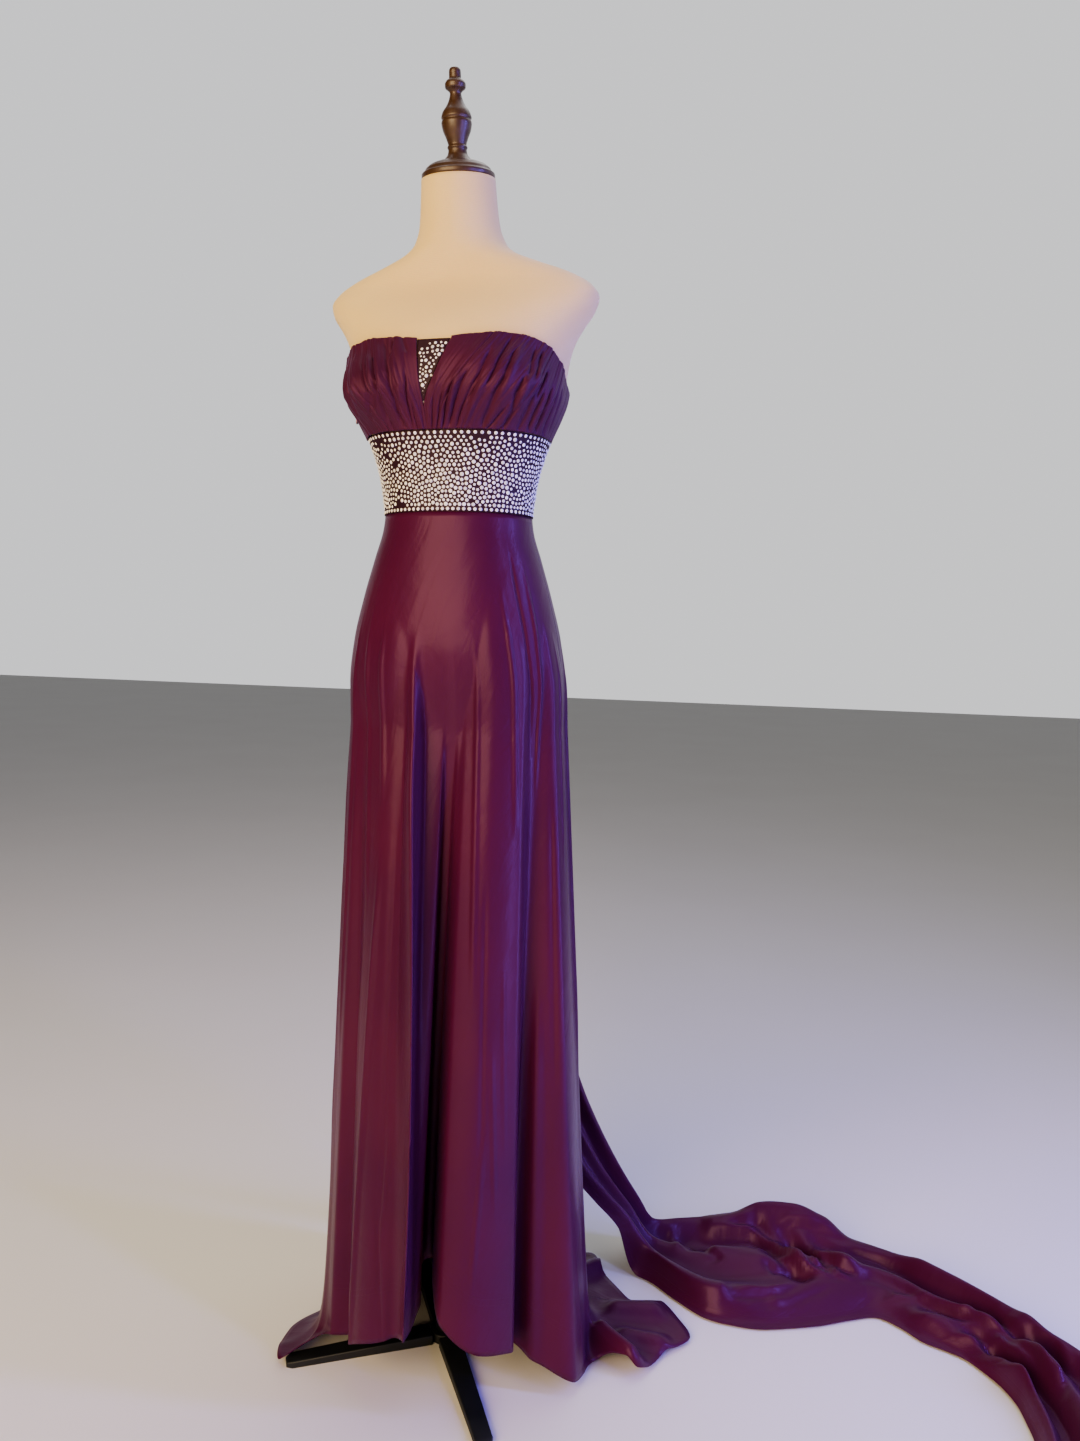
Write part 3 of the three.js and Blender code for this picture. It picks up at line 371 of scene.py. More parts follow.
for side, degrees in LEG_ANGLES.items():
    stops = [
        (LEG["inner"], LEG["width"], LEG["height"]),
        (LEG_TOE["start"], LEG["tip_width"], LEG["tip_height"]),
        (LEG["reach"] - 2, LEG["tip_width"] * 0.72, LEG["tip_height"] * 0.8),
        (LEG["reach"], LEG["tip_width"] * LEG_TOE["width"], LEG["tip_height"] * LEG_TOE["height"]),
    ]
    rings = []
    for out, width, height in stops:
        r = LEG["round"]
        corner = np.radians([0, 22.5, 45, 67.5, 90])
        right = [(width / 2 - r + r * math.cos(a), height - r + r * math.sin(a)) for a in corner]
        left = [(-y, z) for y, z in reversed(right)]
        section = [(-width / 2, 0.0), (width / 2, 0.0), *right, *left]
        rings.append([(out, y, z) for y, z in section])
    sides = len(rings[0])
    faces = loop_faces(len(rings), sides).tolist()
    faces.append(list(range(sides))[::-1])
    faces.append([(len(rings) - 1) * sides + k for k in range(sides)])
    a = math.radians(degrees)
    spin = np.array([[math.cos(a), -math.sin(a), 0], [math.sin(a), math.cos(a), 0], [0, 0, 1]])
    leg = add_piece(f"foot_{side}", np.array(rings).reshape(-1, 3) @ spin.T, faces, black_steel)
    leg.data.set_sharp_from_angle(angle=math.radians(35))
    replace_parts(leg, f"leg_{side}")


# Skirt
# Three panels of heavy satin, cut on a flare and sewn into the waist seam at the sides and the
# centre back. It hangs in three big flutes in front, with a deep recess over the pole, and lies on
# the floor at the sides and behind. Its hem is turned twice and stitched.
HIP_END = 905
WAIST = 1190
SEAM = 0.3
EASE = 1.4
SKIRT_WALL = 1.6
CLOTH_REST = 0.6
SATIN_THICK = 1.0

# Folds round from the right side seam: angle, how far out the cloth falls, height of the hem,
# where the fold leaves the hips, length that lies out on the floor, and how far it turns there.
FOLDS = [
    (-180, 163, 3, 930, 30, 8),
    (-169, 178, 3, 950, 52, 26),
    (-158, 176, 5, 950, 74, 38),
    (-150, 171, 24, 960, 34, 22),
    (-142, 170, 42, 970, 4, 0),
    (-134, 144, 46, 925, 0, 0),
    (-124, 164, 58, 990, 0, 0),
    (-111, 174, 80, 1050, 0, 0),
    (-99, 171, 95, 1000, 0, 0),
    (-92.5, 157, 106, 950, 0, 0),
    (-88.5, 151, 114, 930, 0, 0),
    (-85.5, 136, 130, 920, 0, 0),
    (-82.5, 64, 148, 905, 0, 0),
    (-79.5, 58, 152, 905, 0, 0),
    (-77, 116, 142, 905, 0, 0),
    (-73, 166, 126, 940, 0, 0),
    (-57, 184, 92, 1060, 0, 0),
    (-42, 181, 81, 1040, 0, 0),
    (-31, 138, 64, 925, 0, 0),
    (-17, 221, 17, 1050, 0, 0),
    (-5, 213, 9, 1030, 6, -20),
    (5, 206, 5, 975, 30, -32),
    (13, 208, 3, 990, 99, -47),
    (19, 206, 3, 980, 120, -29),
    (25, 202, 3, 960, 162, -21),
    (30, 196, 3, 950, 156, -18),
    (35, 189, 3, 940, 150, -14),
    (43, 187, 3, 945, 112, -32),
    (50, 193, 3, 960, 86, -10),
    (57, 184, 3, 945, 118, 2),
    (64, 153, 3, 920, 110, 0),
    (77, 192, 3, 960, 158, 4),
    (90, 150, 3, 920, 208, 0),
    (104, 196, 3, 980, 206, 0),
    (118, 147, 3, 925, 196, -4),
    (132, 197, 3, 990, 140, 0),
    (146, 145, 3, 920, 84, 8),
    (161, 188, 3, 980, 34, 6),
    (180, 163, 3, 930, 30, 8),
]
FOLDS_ROUND = [(row[0] + turn, *row[1:]) for turn in (-360, 0) for row in FOLDS[:-1]]
FOLDS_ROUND += [(row[0] + 360, *row[1:]) for row in FOLDS]

# How far the walls of the deep recess over the pole turn under the flute on its right: angle, turn.
UNDERCUT = [
    (-180, 0),
    (-85.5, 0),
    (-82.5, -19),
    (-79.5, -11),
    (-77, -2),
    (-73, 0),
    (180, 0),
]
FLOOR_BEND = {"most": 34, "share": 0.5}

# Where the cloth lies on the floor it is crumpled: from x, y to x, y, half the width, and the
# height, below 0 for a hollow. It fades out above the floor.
SKIRT_CRUMPLES = [
    (205, 46, 298, -13, 15, 34),
    (232, 60, 330, 66, 15, 12),
    (205, 110, 310, 140, 17, 15),
    (150, 175, 190, 235, 16, 16),
    (40, 220, 62, 350, 19, 15),
    (-30, 210, -34, 370, 20, 18),
    (-92, 190, -158, 320, 18, 16),
    (-140, 130, -240, 196, 17, 14),
    (96, 226, 124, 296, 14, -10),
]
CRUMPLE_BELOW = {"none": 130, "full": 70}

# Creases of the hanging cloth, a row each: the angle and share of its length where one begins, the
# angle and share where it ends, its half width in degrees and its height, below 0 for a trough.
SKIRT_CREASES = [
    (-97.5, 0.13, -90.5, 1.15, 2.5, -46.0),
    (-112, 0.38, -121, 1.1, 1.7, -5.0),
    (-104, 0.3, -103, 1.05, 1.6, 2.2),
    (-127, 0.5, -129, 1.1, 1.2, -2.5),
    (-131, 0.1, -122, 0.5, 1.5, -2.4),
    (-118, 0.12, -112, 0.36, 1.4, -2.2),
    (-99, 0.72, -104, 0.93, 0.8, -1.8),
    (-107, 0.8, -99, 1.02, 0.8, 1.8),
    (-68, 0.14, -64, 0.62, 1.3, -2.4),
    (-60, 0.42, -58, 0.82, 1.1, 1.8),
    (-57, 0.72, -61, 0.94, 0.9, -1.9),
    (-55, 0.62, -51, 0.85, 0.7, -1.8),
    (-49, 0.08, -44, 0.4, 1.2, -2.6),
    (-50, 0.52, -47, 0.78, 0.6, -1.4),
    (-38, 0.02, -34, 0.3, 1.3, 2.2),
    (-27, 0.05, -29, 0.34, 1.2, -2.6),
    (-25, 0.52, -25.5, 1.1, 1.3, -6.0),
    (-20.5, 0.3, -21, 0.7, 1.1, 2.2),
    (-9, 0.12, -12, 0.42, 1.1, -2.0),
    (-14, 0.84, -8, 1.02, 0.7, -1.4),
    (-143, 0.1, -150, 0.66, 1.8, -3.2),
    (-156, 0.3, -160, 0.86, 1.5, 2.4),
    (-171, 0.16, -166, 0.84, 1.6, -3.6),
    (8, 0.1, 10, 0.66, 1.6, -3.2),
    (21, 0.3, 17, 0.8, 1.3, 2.2),
    (33, 0.08, 29, 0.8, 1.7, -3.8),
    (47, 0.4, 45, 0.86, 1.3, 2.4),
    (57, 0.14, 58, 0.7, 1.4, -2.8),
    (71, 0.3, 74, 0.88, 1.3, -3.0),
    (84, 0.42, 82, 0.86, 1.1, 1.9),
    (98, 0.5, 101, 0.88, 1.2, -3.2),
    (109, 0.18, 106, 0.76, 1.4, -3.4),
    (124, 0.12, 127, 0.84, 1.6, -4.2),
    (136, 0.3, 139, 0.78, 1.2, 2.4),
    (151, 0.08, 149, 0.66, 1.5, -3.0),
    (157, 0.46, 161, 0.9, 1.2, -2.6),
    (171, 0.14, 168, 0.82, 1.6, -3.4),
]
CREASE_ASPECT = 55


def smooth(share):
    """An S-shaped step from 0 to 1."""
    share = np.clip(share, 0, 1)
    return share**2 * (3 - 2 * share)


def mix(a, b, share):
    """A value part of the way from a to b."""
    return a + (b - a) * share


def creases(rows, u, v, aspect):
    """The height of soft troughs and ridges at u, v. v is made comparable with u by aspect."""
    total = np.zeros(np.broadcast(u, v).shape)
    for u0, v0, u1, v1, wide, high in rows:
        du, dv = u1 - u0, (v1 - v0) * aspect
        length = math.hypot(du, dv)
        along = ((u - u0) * du + (v - v0) * aspect * dv) / length**2
        across = ((u - u0) * dv - (v - v0) * aspect * du) / length
        total += high * np.exp(-((across / wide) ** 2)) * smooth(along * 4) * smooth((1 - along) * 4)
    return total


def near_floor(z):
    """How near to the floor a height is, from 0 to 1."""
    return smooth((CRUMPLE_BELOW["none"] - z) / (CRUMPLE_BELOW["none"] - CRUMPLE_BELOW["full"]))


def rest_height(x, y):
    """How high cloth lies at a place on the floor, because it drapes over the feet."""
    height = np.zeros(np.shape(x))
    for degrees in LEG_ANGLES.values():
        a = math.radians(degrees)
        along = x * math.cos(a) + y * math.sin(a)
        across = np.abs(y * math.cos(a) - x * math.sin(a))
        beside = smooth(1 - (across - LEG["width"] / 2 - 9) / 32)
        past = smooth(1 - (along - LEG["reach"] - 10) / 34)
        top = mix(LEG["height"], LEG["tip_height"], np.clip(along / LEG["reach"], 0, 1)) + 1.5
        height = np.maximum(height, np.where(along > 0, top * beside * past, 0))
    return height


def skirt_surface(angle, share):
    """The skirt's outer face, from the waist at share 0 to the hem at share 1."""
    reach, hem, starts, spread, swing = read(FOLDS_ROUND, angle)
    top = WAIST - SEAM
    floor = hem + CLOTH_REST + SKIRT_WALL
    along = share * (top - floor + spread) - (top - floor)
    bend = np.minimum(FLOOR_BEND["most"], spread * FLOOR_BEND["share"])
    curve = np.hypot(along, bend)
    out = (curve + along) / 2
    z = np.minimum(top, floor + (curve - along) / 2)
    drop = np.clip((starts - z) / (starts - floor), 0, 1)
    hip = on_form(angle, np.maximum(z, HIP_END), EASE + SKIRT_WALL)
    hanging = np.radians(angle + read(UNDERCUT, angle)[0])
    way = np.radians(angle + swing)
    x = mix(hip[..., 0], reach * np.cos(hanging), drop) + out * np.cos(way)
    y = mix(hip[..., 1], reach * np.sin(hanging), drop) + out * np.sin(way)
    z = z + creases(SKIRT_CRUMPLES, x, y, 1) * near_floor(z)
    z = np.maximum(z, rest_height(x, y) + CLOTH_REST + SKIRT_WALL)
    return np.stack([x, y, z], axis=-1)


def surface_normals(grid):
    """Unit normals of a grid of points."""
    down = np.gradient(grid, axis=0)
    side = np.gradient(grid, axis=1)
    normal = np.cross(side, down)
    return normal / np.maximum(np.linalg.norm(normal, axis=-1, keepdims=True), 1e-9)


def cloth_wall(name, grid, outward, thick, material, hem_side=False):
    """A thin closed wall of cloth from a grid of points on its outer face. outward is 1 or -1. On
    the flat cloth v is the distance from the hem: the last row, or with hem_side the first column."""
    rows, columns = grid.shape[:2]
    inner = grid - surface_normals(grid) * (outward * thick)
    far = rows * columns
    j, i = np.meshgrid(np.arange(rows - 1), np.arange(columns - 1), indexing="ij")
    a = j * columns + i
    quads = np.stack([a, a + columns, a + columns + 1, a + 1], axis=-1).reshape(-1, 4)
    if outward > 0:
        quads = quads[:, ::-1]
    faces = [quads, quads[:, ::-1] + far]
    edge_rows = np.arange(columns)
    edge_columns = np.arange(rows) * columns
    edges = [
        (edge_rows, 1),
        (edge_rows + (rows - 1) * columns, -1),
        (edge_columns, -1),
        (edge_columns + columns - 1, 1),
    ]
    for edge, turn in edges:
        a, b = edge[:-1], edge[1:]
        rim = np.stack([a, b, b + far, a + far], axis=-1)
        faces.append(rim[:, ::-1] if turn * outward > 0 else rim)
    down = np.linalg.norm(np.diff(grid, axis=0), axis=-1)
    side = np.linalg.norm(np.diff(grid, axis=1), axis=-1)
    v = np.concatenate([np.zeros((1, columns)), np.cumsum(down, axis=0)])
    u = np.concatenate([np.zeros((rows, 1)), np.cumsum(side, axis=1)], axis=1)
    hem_shift = STITCH_ROWS_MM[0] - SIDE_STITCH_MM
    flat = np.stack([v, np.minimum(u, u[:, -1:] - u) + hem_shift] if hem_side else [u, v[-1:] - v], axis=-1)
    cloth_mm = flat.reshape(-1, 2)
    points = np.concatenate([grid.reshape(-1, 3), inner.reshape(-1, 3)])
    every = np.concatenate([cloth_mm, cloth_mm])
    return add_piece(name, points, np.concatenate(faces), material, cloth_mm=every)


def even_columns(place, start, end, count):
    """Angles between two seams, spaced evenly along the cloth."""
    dense = np.linspace(start, end, 2000)
    points = place(dense)
    gone = np.concatenate([[0], np.cumsum(np.linalg.norm(np.diff(points, axis=0), axis=-1))])
    return np.interp(np.linspace(0, gone[-1], count), gone, dense)


# Duchess satin: polyester filaments in a heavy satin weave. The long floats lie side by side down
# the panel, so the folds carry long soft highlights. Warm light turns the plum to rose brown, and
# cool light turns it to lavender.
SATIN_YARN_MM = 1.3
STITCH_ROWS_MM = (66, 74)
SIDE_STITCH_MM = 11
STITCH_WIDE_MM = 0.7
satin = new_material("plum_duchess_satin")
cloth = add_node(satin, "UVMap", uv_map="cloth")
place = add_node(satin, "TexCoord")
# The real yarns are 0.1 mm apart: they are drawn wider, so that they show at all.
yarn_space = add_node(
    satin, "Mapping", {"Vector": cloth["UV"], "Scale": (1000 / SATIN_YARN_MM, 60.0, 1.0)}
)
yarn = add_node(
    satin, "TexNoise",
    {"Vector": yarn_space["Vector"], "Scale": 1.0, "Detail": 2.0, "Roughness": 0.5},
)
pull_space = add_node(satin, "Mapping", {"Vector": cloth["UV"], "Scale": (34.0, 5.0, 1.0)})
pull = add_node(
    satin, "TexNoise", {
        "Vector": pull_space["Vector"], "Scale": 1.0, "Detail": 3.0, "Roughness": 0.55,
        "Distortion": 0.5,
    },
)
crumple = add_node(
    satin, "TexNoise", {
        "Vector": place["Object"], "Scale": 24.0, "Detail": 3.0, "Roughness": 0.55,
        "Distortion": 0.8,
    },
)
cloudy = add_node(satin, "TexNoise", {"Vector": place["Object"], "Scale": 4.5, "Detail": 2.0})
tone = add_node(
    satin, "Mix", {
        "Factor": cloudy["Fac"], "A": hex_colour("#401438"), "B": hex_colour("#5a213e"),
    },
    data_type="RGBA",
)
# The deep hem is held by two rows of fine stitches, whose distance from the edge is v on the cloth.
edge = add_node(satin, "SeparateXYZ", {"Vector": cloth["UV"]})
stitched = [
    add_node(
        satin, "Math", {0: edge["Y"], 1: at / 1000, 2: STITCH_WIDE_MM / 1000}, operation="COMPARE"
    )
    for at in STITCH_ROWS_MM
]
both_rows = add_node(
    satin, "Math", {0: stitched[0]["Value"], 1: stitched[1]["Value"]}, operation="ADD"
)
soft_height = add_node(
    satin, "Math", {0: pull["Fac"], 1: 1.5, 2: crumple["Fac"]}, operation="MULTIPLY_ADD"
)
height = add_node(
    satin, "Math",
    {0: yarn["Fac"], 1: 0.1, 2: soft_height["Value"]},
    operation="MULTIPLY_ADD",
)
sewn_height = add_node(
    satin, "Math",
    {0: both_rows["Value"], 1: -0.45, 2: height["Value"]},
    operation="MULTIPLY_ADD",
)
bump = add_node(
    satin, "Bump", {"Height": sewn_height["Value"], "Strength": 0.4, "Distance": 0.0016}
)
gloss = add_node(satin, "MapRange", {"Value": yarn["Fac"], "To Min": 0.33, "To Max": 0.42})
warp = add_node(satin, "Tangent", direction_type="UV_MAP", uv_map="cloth")
shade = add_node(
    satin, "BsdfPrincipled", {
        "Base Color": tone["Result"], "Roughness": gloss["Result"], "IOR": 1.55,
        "Specular IOR Level": 0.22, "Specular Tint": hex_colour("#dcb4e0"), "Coat Weight": 0.06,
        "Coat Roughness": 0.18, "Coat Normal": bump["Normal"], "Anisotropic": 0.4,
        "Anisotropic Rotation": 0.25, "Sheen Weight": 0.08, "Sheen Roughness": 0.35,
        "Sheen Tint": hex_colour("#9c86d6"), "Tangent": warp["Tangent"],
        "Normal": bump["Normal"],
    },
)
add_node(satin, "OutputMaterial", {"Surface": shade["BSDF"]})

SKIRT_ROWS = 150
CLOTH_SPACING_AT = 0.72
# Each panel: the angles of its seams, columns, its flat cut as width at the hem and length, and the
# cut's area, which is less than the rectangle's because the panel is flared.
SKIRT_PANELS = [
    ("skirt_front", -180, 0, 300, (0.86, 1.3), 0.66),
    ("skirt_back_left", 0, 90, 130, (0.48, 1.48), 0.4),
    ("skirt_back_right", 90, 180, 130, (0.48, 1.48), 0.4),
]
SEAM_CLEAR = 0.08


def creased_line(angle):
    """A level line round the skirt, with its creases, for spacing the columns."""
    line = skirt_surface(angle, CLOTH_SPACING_AT)
    reach = np.hypot(line[:, 0], line[:, 1])
    lift = creases(SKIRT_CREASES, angle, CLOTH_SPACING_AT, CREASE_ASPECT)
    line[:, :2] *= (1 + lift / reach)[:, None]
    return line


for name, start, end, columns, flat, area in SKIRT_PANELS:
    at = even_columns(creased_line, start + SEAM_CLEAR, end - SEAM_CLEAR, columns)
    share = np.linspace(0, 1, SKIRT_ROWS)[:, None]
    angle = np.broadcast_to(at[None, :], (SKIRT_ROWS, columns))
    grid = skirt_surface(angle, share)
    lift = creases(SKIRT_CREASES, angle, share, CREASE_ASPECT)
    fade = smooth(share * 12) * smooth((angle - start) / 3) * smooth((end - angle) / 3)
    grid = grid + surface_normals(grid) * (lift * fade)[..., None]
    grid[..., 2] = np.maximum(grid[..., 2], CLOTH_REST + SKIRT_WALL)
    piece = cloth_wall(name + "_satin", grid, 1, SATIN_THICK, satin)
    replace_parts(piece, name)


# Train panel
# A separate length of the same satin, pleated into the waist seam at the centre back. It falls
# down the back of the skirt, narrows to a rope of cloth, and sweeps round on the floor in a wide
# bulge and a twist.
TRAIN_TOP = {"at": 90, "half_angle": 36, "levels": (1189.7, 1150, 1105, 1060)}
TRAIN_TOP |= {"pleat": 3.5, "over": 1.2, "stands_off": 9}

# Its way down: x, y, z, half its width, which way the width points, how far its edges curve
# towards the skirt, and the height of its folds.
TRAIN = [
    (2, 141, 985, 68, 2, 18, 6),
    (12, 152, 850, 66, 6, 13, 9),
    (32, 166, 680, 60, 12, 8, 11),
    (54, 186, 500, 56, 20, 5, 12),
    (85, 211, 348, 48, 33, 2, 11),
    (128, 228, 246, 44, 50, 0, 11),
    (172, 246, 160, 46, 67, 0, 12),
    (216, 273, 88, 43, 84, 0, 12),
    (262, 281, 32, 67, 97, 0, 14),
    (345, 274, 26, 124, 97, 0, 17),
    (432, 286, 34, 138, 95, 0, 20),
    (526, 306, 34, 121, 93, 0, 19),
    (616, 310, 30, 80, 88, 0, 18),
    (692, 268, 28, 78, 79, 0, 22),
    (758, 229, 28, 65, 69, 0, 22),
    (814, 175, 27, 67, 56, 0, 22),
    (864, 112, 25, 86, 40, 0, 21),
    (887, 12, 20, 90, 22, 0, 16),
    (886, -100, 14, 98, 8, 0, 10),
]
TRAIN_STEPS = [(step, *row) for step, row in enumerate(TRAIN)]

# Its big creases on the floor, as SKIRT_CRUMPLES has them, and then the smaller ones, each with half
# its width, its height and the line that it follows.
TRAIN_CRUMPLES = [
    (370, 405, 580, 398, 22, 22),
    (325, 345, 425, 372, 16, 11),
    (415, 375, 556, 270, 15, 15),
    (470, 378, 600, 280, 15, 14),
    (462, 352, 556, 284, 12, -22),
    (335, 276, 440, 322, 17, 10),
    (436, 322, 516, 250, 15, -15),
    (480, 416, 690, 336, 16, -12),
    (380, 182, 470, 190, 17, -10),
    (630, 222, 860, 216, 16, 12),
    (630, 200, 800, 158, 16, -12),
    (650, 176, 838, 92, 16, 12),
    (800, 198, 868, 110, 17, 13),
]
TRAIN_FOLD_LINES = [
    (5, 4.5, [(198, 230), (231, 237), (275, 226), (322, 189), (358, 165), (401, 154)]),
    (5, -4.0, [(238, 236), (279, 220), (329, 179), (375, 155), (414, 145)]),
    (6, 5.0, [(252, 321), (283, 333), (301, 278), (292, 264)]),
    (6, -5.0, [(299, 331), (344, 281), (367, 266), (342, 253)]),
    (6, 8.0, [(331, 344), (414, 356), (452, 336), (504, 284), (551, 272)]),
    (7, -8.0, [(368, 355), (425, 370), (451, 347), (469, 351)]),
    (5, 6.0, [(420, 287), (442, 313), (479, 294), (534, 270)]),
    (6, -7.0, [(438, 281), (457, 263), (498, 276)]),
    (6, -9.0, [(475, 356), (515, 286), (550, 281)]),
    (5, 6.5, [(500, 348), (525, 321), (556, 280), (583, 276)]),
    (5, -7.0, [(525, 323), (556, 293), (589, 287)]),
    (6, -3.5, [(378, 172), (418, 184), (473, 210), (511, 260)]),
    (5, 3.0, [(401, 194), (450, 207), (494, 244)]),
    (5, -3.0, [(430, 176), (475, 192), (519, 230), (556, 262)]),
    (6, -6.0, [(553, 361), (618, 351), (680, 322)]),
    (6, -4.0, [(467, 375), (528, 377), (590, 364)]),
    (5, 4.5, [(449, 368), (473, 380), (528, 383)]),
    (6, 6.0, [(668, 271), (732, 236), (785, 244), (817, 208), (834, 137), (847, 98)]),
    (6, -6.5, [(678, 246), (750, 221), (788, 196), (819, 156), (837, 120)]),
    (6, 6.0, [(677, 213), (719, 192), (780, 189), (810, 153), (834, 117), (838, 91)]),
    (6, -6.5, [(645, 234), (695, 199), (745, 174), (781, 133), (797, 101)]),
    (5, 5.5, [(769, 143), (791, 112), (791, 89)]),
    (6, -7.0, [(819, 210), (852, 182), (857, 126), (849, 87)]),
    (6, 5.0, [(825, 211), (859, 182), (875, 151)]),
    (8, -5.0, [(305, 268), (350, 300), (404, 306)]),
    (7, 4.5, [(590, 232), (640, 262), (700, 262)]),
    (7, 5.5, [(760, 148), (800, 110), (812, 40), (806, -40)]),
    (7, -6.0, [(790, 168), (828, 118), (842, 50), (838, -40)]),
    (8, 6.0, [(880, 168), (884, 100), (878, 10), (872, -80)]),
    (7, -5.5, [(905, 140), (912, 70), (906, -20), (904, -96)]),
    (7, 5.0, [(932, 120), (940, 50), (934, -30), (932, -100)]),
]
TRAIN_EDGE = {"from": 0.76, "none": 75, "full": 35}

# On the side towards the front it lies flatter: the step, how far its folds are calmed there, and
# where it starts to slope down to its edge, from 0 at the middle to 1.
TRAIN_NEAR = [
    (0, 0, 0.76),
    (9, 0, 0.76),
    (10, 0.5, 0.5),
    (11, 0.85, 0.25),
    (12, 0.85, 0.2),
    (13, 0.6, 0.35),
    (14, 0.3, 0.5),
    (15, 0, 0.65),
    (18, 0, 0.76),
]
NEAR_WITHIN = 0.45
TRAIN_COLUMNS = 120
TRAIN_FINE = 8
TRAIN_FOLDS = {"main": 2.7, "side": 1.3, "main_share": 0.68, "drift": 0.16}


def train_wave(across, along):
    """The folds of the train across its width."""
    main = np.sin(np.pi * TRAIN_FOLDS["main"] * across + TRAIN_FOLDS["drift"] * along)
    side = np.sin(np.pi * TRAIN_FOLDS["side"] * across + 1.1 + 2 * TRAIN_FOLDS["drift"] * along)
    return mix(side, main, TRAIN_FOLDS["main_share"])


def train_surface(step, across):
    """The train's face below the hips, at a step of its table and from -1 to 1 across."""
    x, y, z, half, turn, bow, wave = read(TRAIN_STEPS, step)
    ahead, behind = (read(TRAIN_STEPS, step + d)[:3] for d in (0.1, -0.1))
    way = np.moveaxis(ahead - behind, 0, -1)
    turn = np.radians(turn)
    width = np.stack([np.cos(turn), np.sin(turn), 0 * turn], axis=-1)
    face = np.cross(way, width)
    face /= np.linalg.norm(face, axis=-1, keepdims=True)
    calm = 1 - read(TRAIN_NEAR, step)[0] * smooth(-across / NEAR_WITHIN)
    height = bow * across**2 + wave * train_wave(across, step) * calm
    return np.stack([x, y, z], axis=-1) + width * (across * half)[..., None] + face * height[..., None]


def folds_along(rows, x, y):
    """The height of creases along lines of points in a plane. They taper towards both ends."""
    x, y = np.broadcast_arrays(x, y)
    total = np.zeros(x.shape)
    for wide, high, line in rows:
        line = np.array(line, float)
        spans = np.linalg.norm(np.diff(line, axis=0), axis=1)
        gone = np.concatenate([[0], np.cumsum(spans)]) / spans.sum()
        nearest, taper = np.full(x.shape, np.inf), np.zeros(x.shape)
        for k, span in enumerate(spans):
            dx, dy = (line[k + 1] - line[k]) / span
            along = np.clip((x - line[k, 0]) * dx + (y - line[k, 1]) * dy, 0, span)
            far = np.hypot(x - line[k, 0] - along * dx, y - line[k, 1] - along * dy)
            share = mix(gone[k], gone[k + 1], along / span)
            taper = np.where(far < nearest, smooth(share * 4) * smooth((1 - share) * 4), taper)
            nearest = np.minimum(far, nearest)
        total += high * np.exp(-((nearest / wide) ** 2)) * taper
    return total


def through(stops, fine):
    """Rows of points on a smooth curve through each column of the given rows."""
    ends = np.concatenate([2 * stops[:1] - stops[1:2], stops, 2 * stops[-1:] - stops[-2:-1]])
    t = (np.arange(fine) / fine)[:, None, None]
    made = []
    for k in range(len(stops) - 1):
        p0, p1, p2, p3 = ends[k : k + 4]
        part = 2 * p1 + (p2 - p0) * t + (2 * p0 - 5 * p1 + 4 * p2 - p3) * t**2
        made.append((part + (3 * p1 - p0 - 3 * p2 + p3) * t**3) / 2)
    return np.concatenate([*made, stops[-1:]])


across = np.linspace(-1, 1, TRAIN_COLUMNS)
stops = []
for z in TRAIN_TOP["levels"]:
    below = TRAIN_TOP["levels"][0] - z
    lift = TRAIN_TOP["pleat"] * (1 + train_wave(across, 0)) * smooth(below / 40)
    out = EASE + SKIRT_WALL + TRAIN_TOP["over"] + lift + TRAIN_TOP["stands_off"] * smooth(below / 130)
    stops.append(on_form(TRAIN_TOP["at"] - across * TRAIN_TOP["half_angle"], z, out))
for step in np.arange(0, len(TRAIN) - 0.5, 0.5):
    stops.append(train_surface(np.full(TRAIN_COLUMNS, step), across))
train_grid = through(np.array(stops), TRAIN_FINE)
train_x, train_y, train_z = np.moveaxis(train_grid, -1, 0)
low = near_floor(train_z)
train_rest = CLOTH_REST + 2 * SKIRT_WALL
rumpled = train_z + low * creases(TRAIN_CRUMPLES, train_x, train_y, 1)
rumpled += low * folds_along(TRAIN_FOLD_LINES, train_x, train_y)
rumpled = np.maximum(rumpled, np.minimum(train_z, train_rest))
down = smooth((TRAIN_EDGE["none"] - train_z) / (TRAIN_EDGE["none"] - TRAIN_EDGE["full"]))
fine_step = (np.arange(len(train_grid)) / TRAIN_FINE - len(TRAIN_TOP["levels"])) / 2
slope_from = np.where(across < 0, read(TRAIN_NEAR, fine_step)[1][:, None], TRAIN_EDGE["from"])
outer = smooth((np.abs(across) - slope_from) / (1 - slope_from))
train_grid[..., 2] = mix(rumpled, train_rest, down * outer)
train_piece = cloth_wall("train_panel_satin", train_grid, -1, SATIN_THICK, satin, hem_side=True)
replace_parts(train_piece, "train_panel")


# Cups and back of the bodice
# Matt satin chiffon gathered over a boned cup on each side of the beaded V. The gathers are
# caught close together at the middle of the band and fan out to the top edge.
UNDERBUST = 1292
CUP_EASE = 1.9
BODICE_WALL = 2
CHIFFON_THICK = 1.2
TOP_EDGE = [
    (-90, 1402), (-78, 1406), (-58, 1409), (-40, 1405), (-24, 1393), (-10, 1375), (0, 1362),
    (25, 1352), (55, 1346), (90, 1344),
]
INSET = {"tip": 1320, "top": 1402, "tip_at": -93.3, "left_at": -82.3, "right_at": -96.3, "set_back": 0.8}
SEAM_TURN = math.degrees(SEAM / 105)
GATHERS = {"count": 13, "crowd": {1: 1.9, -1: 1.6}, "fan": 0.92, "rise": 1.9, "fine": 0.7, "deepest": -1.8}
CUP_COLUMNS, CUP_ROWS = 260, 84

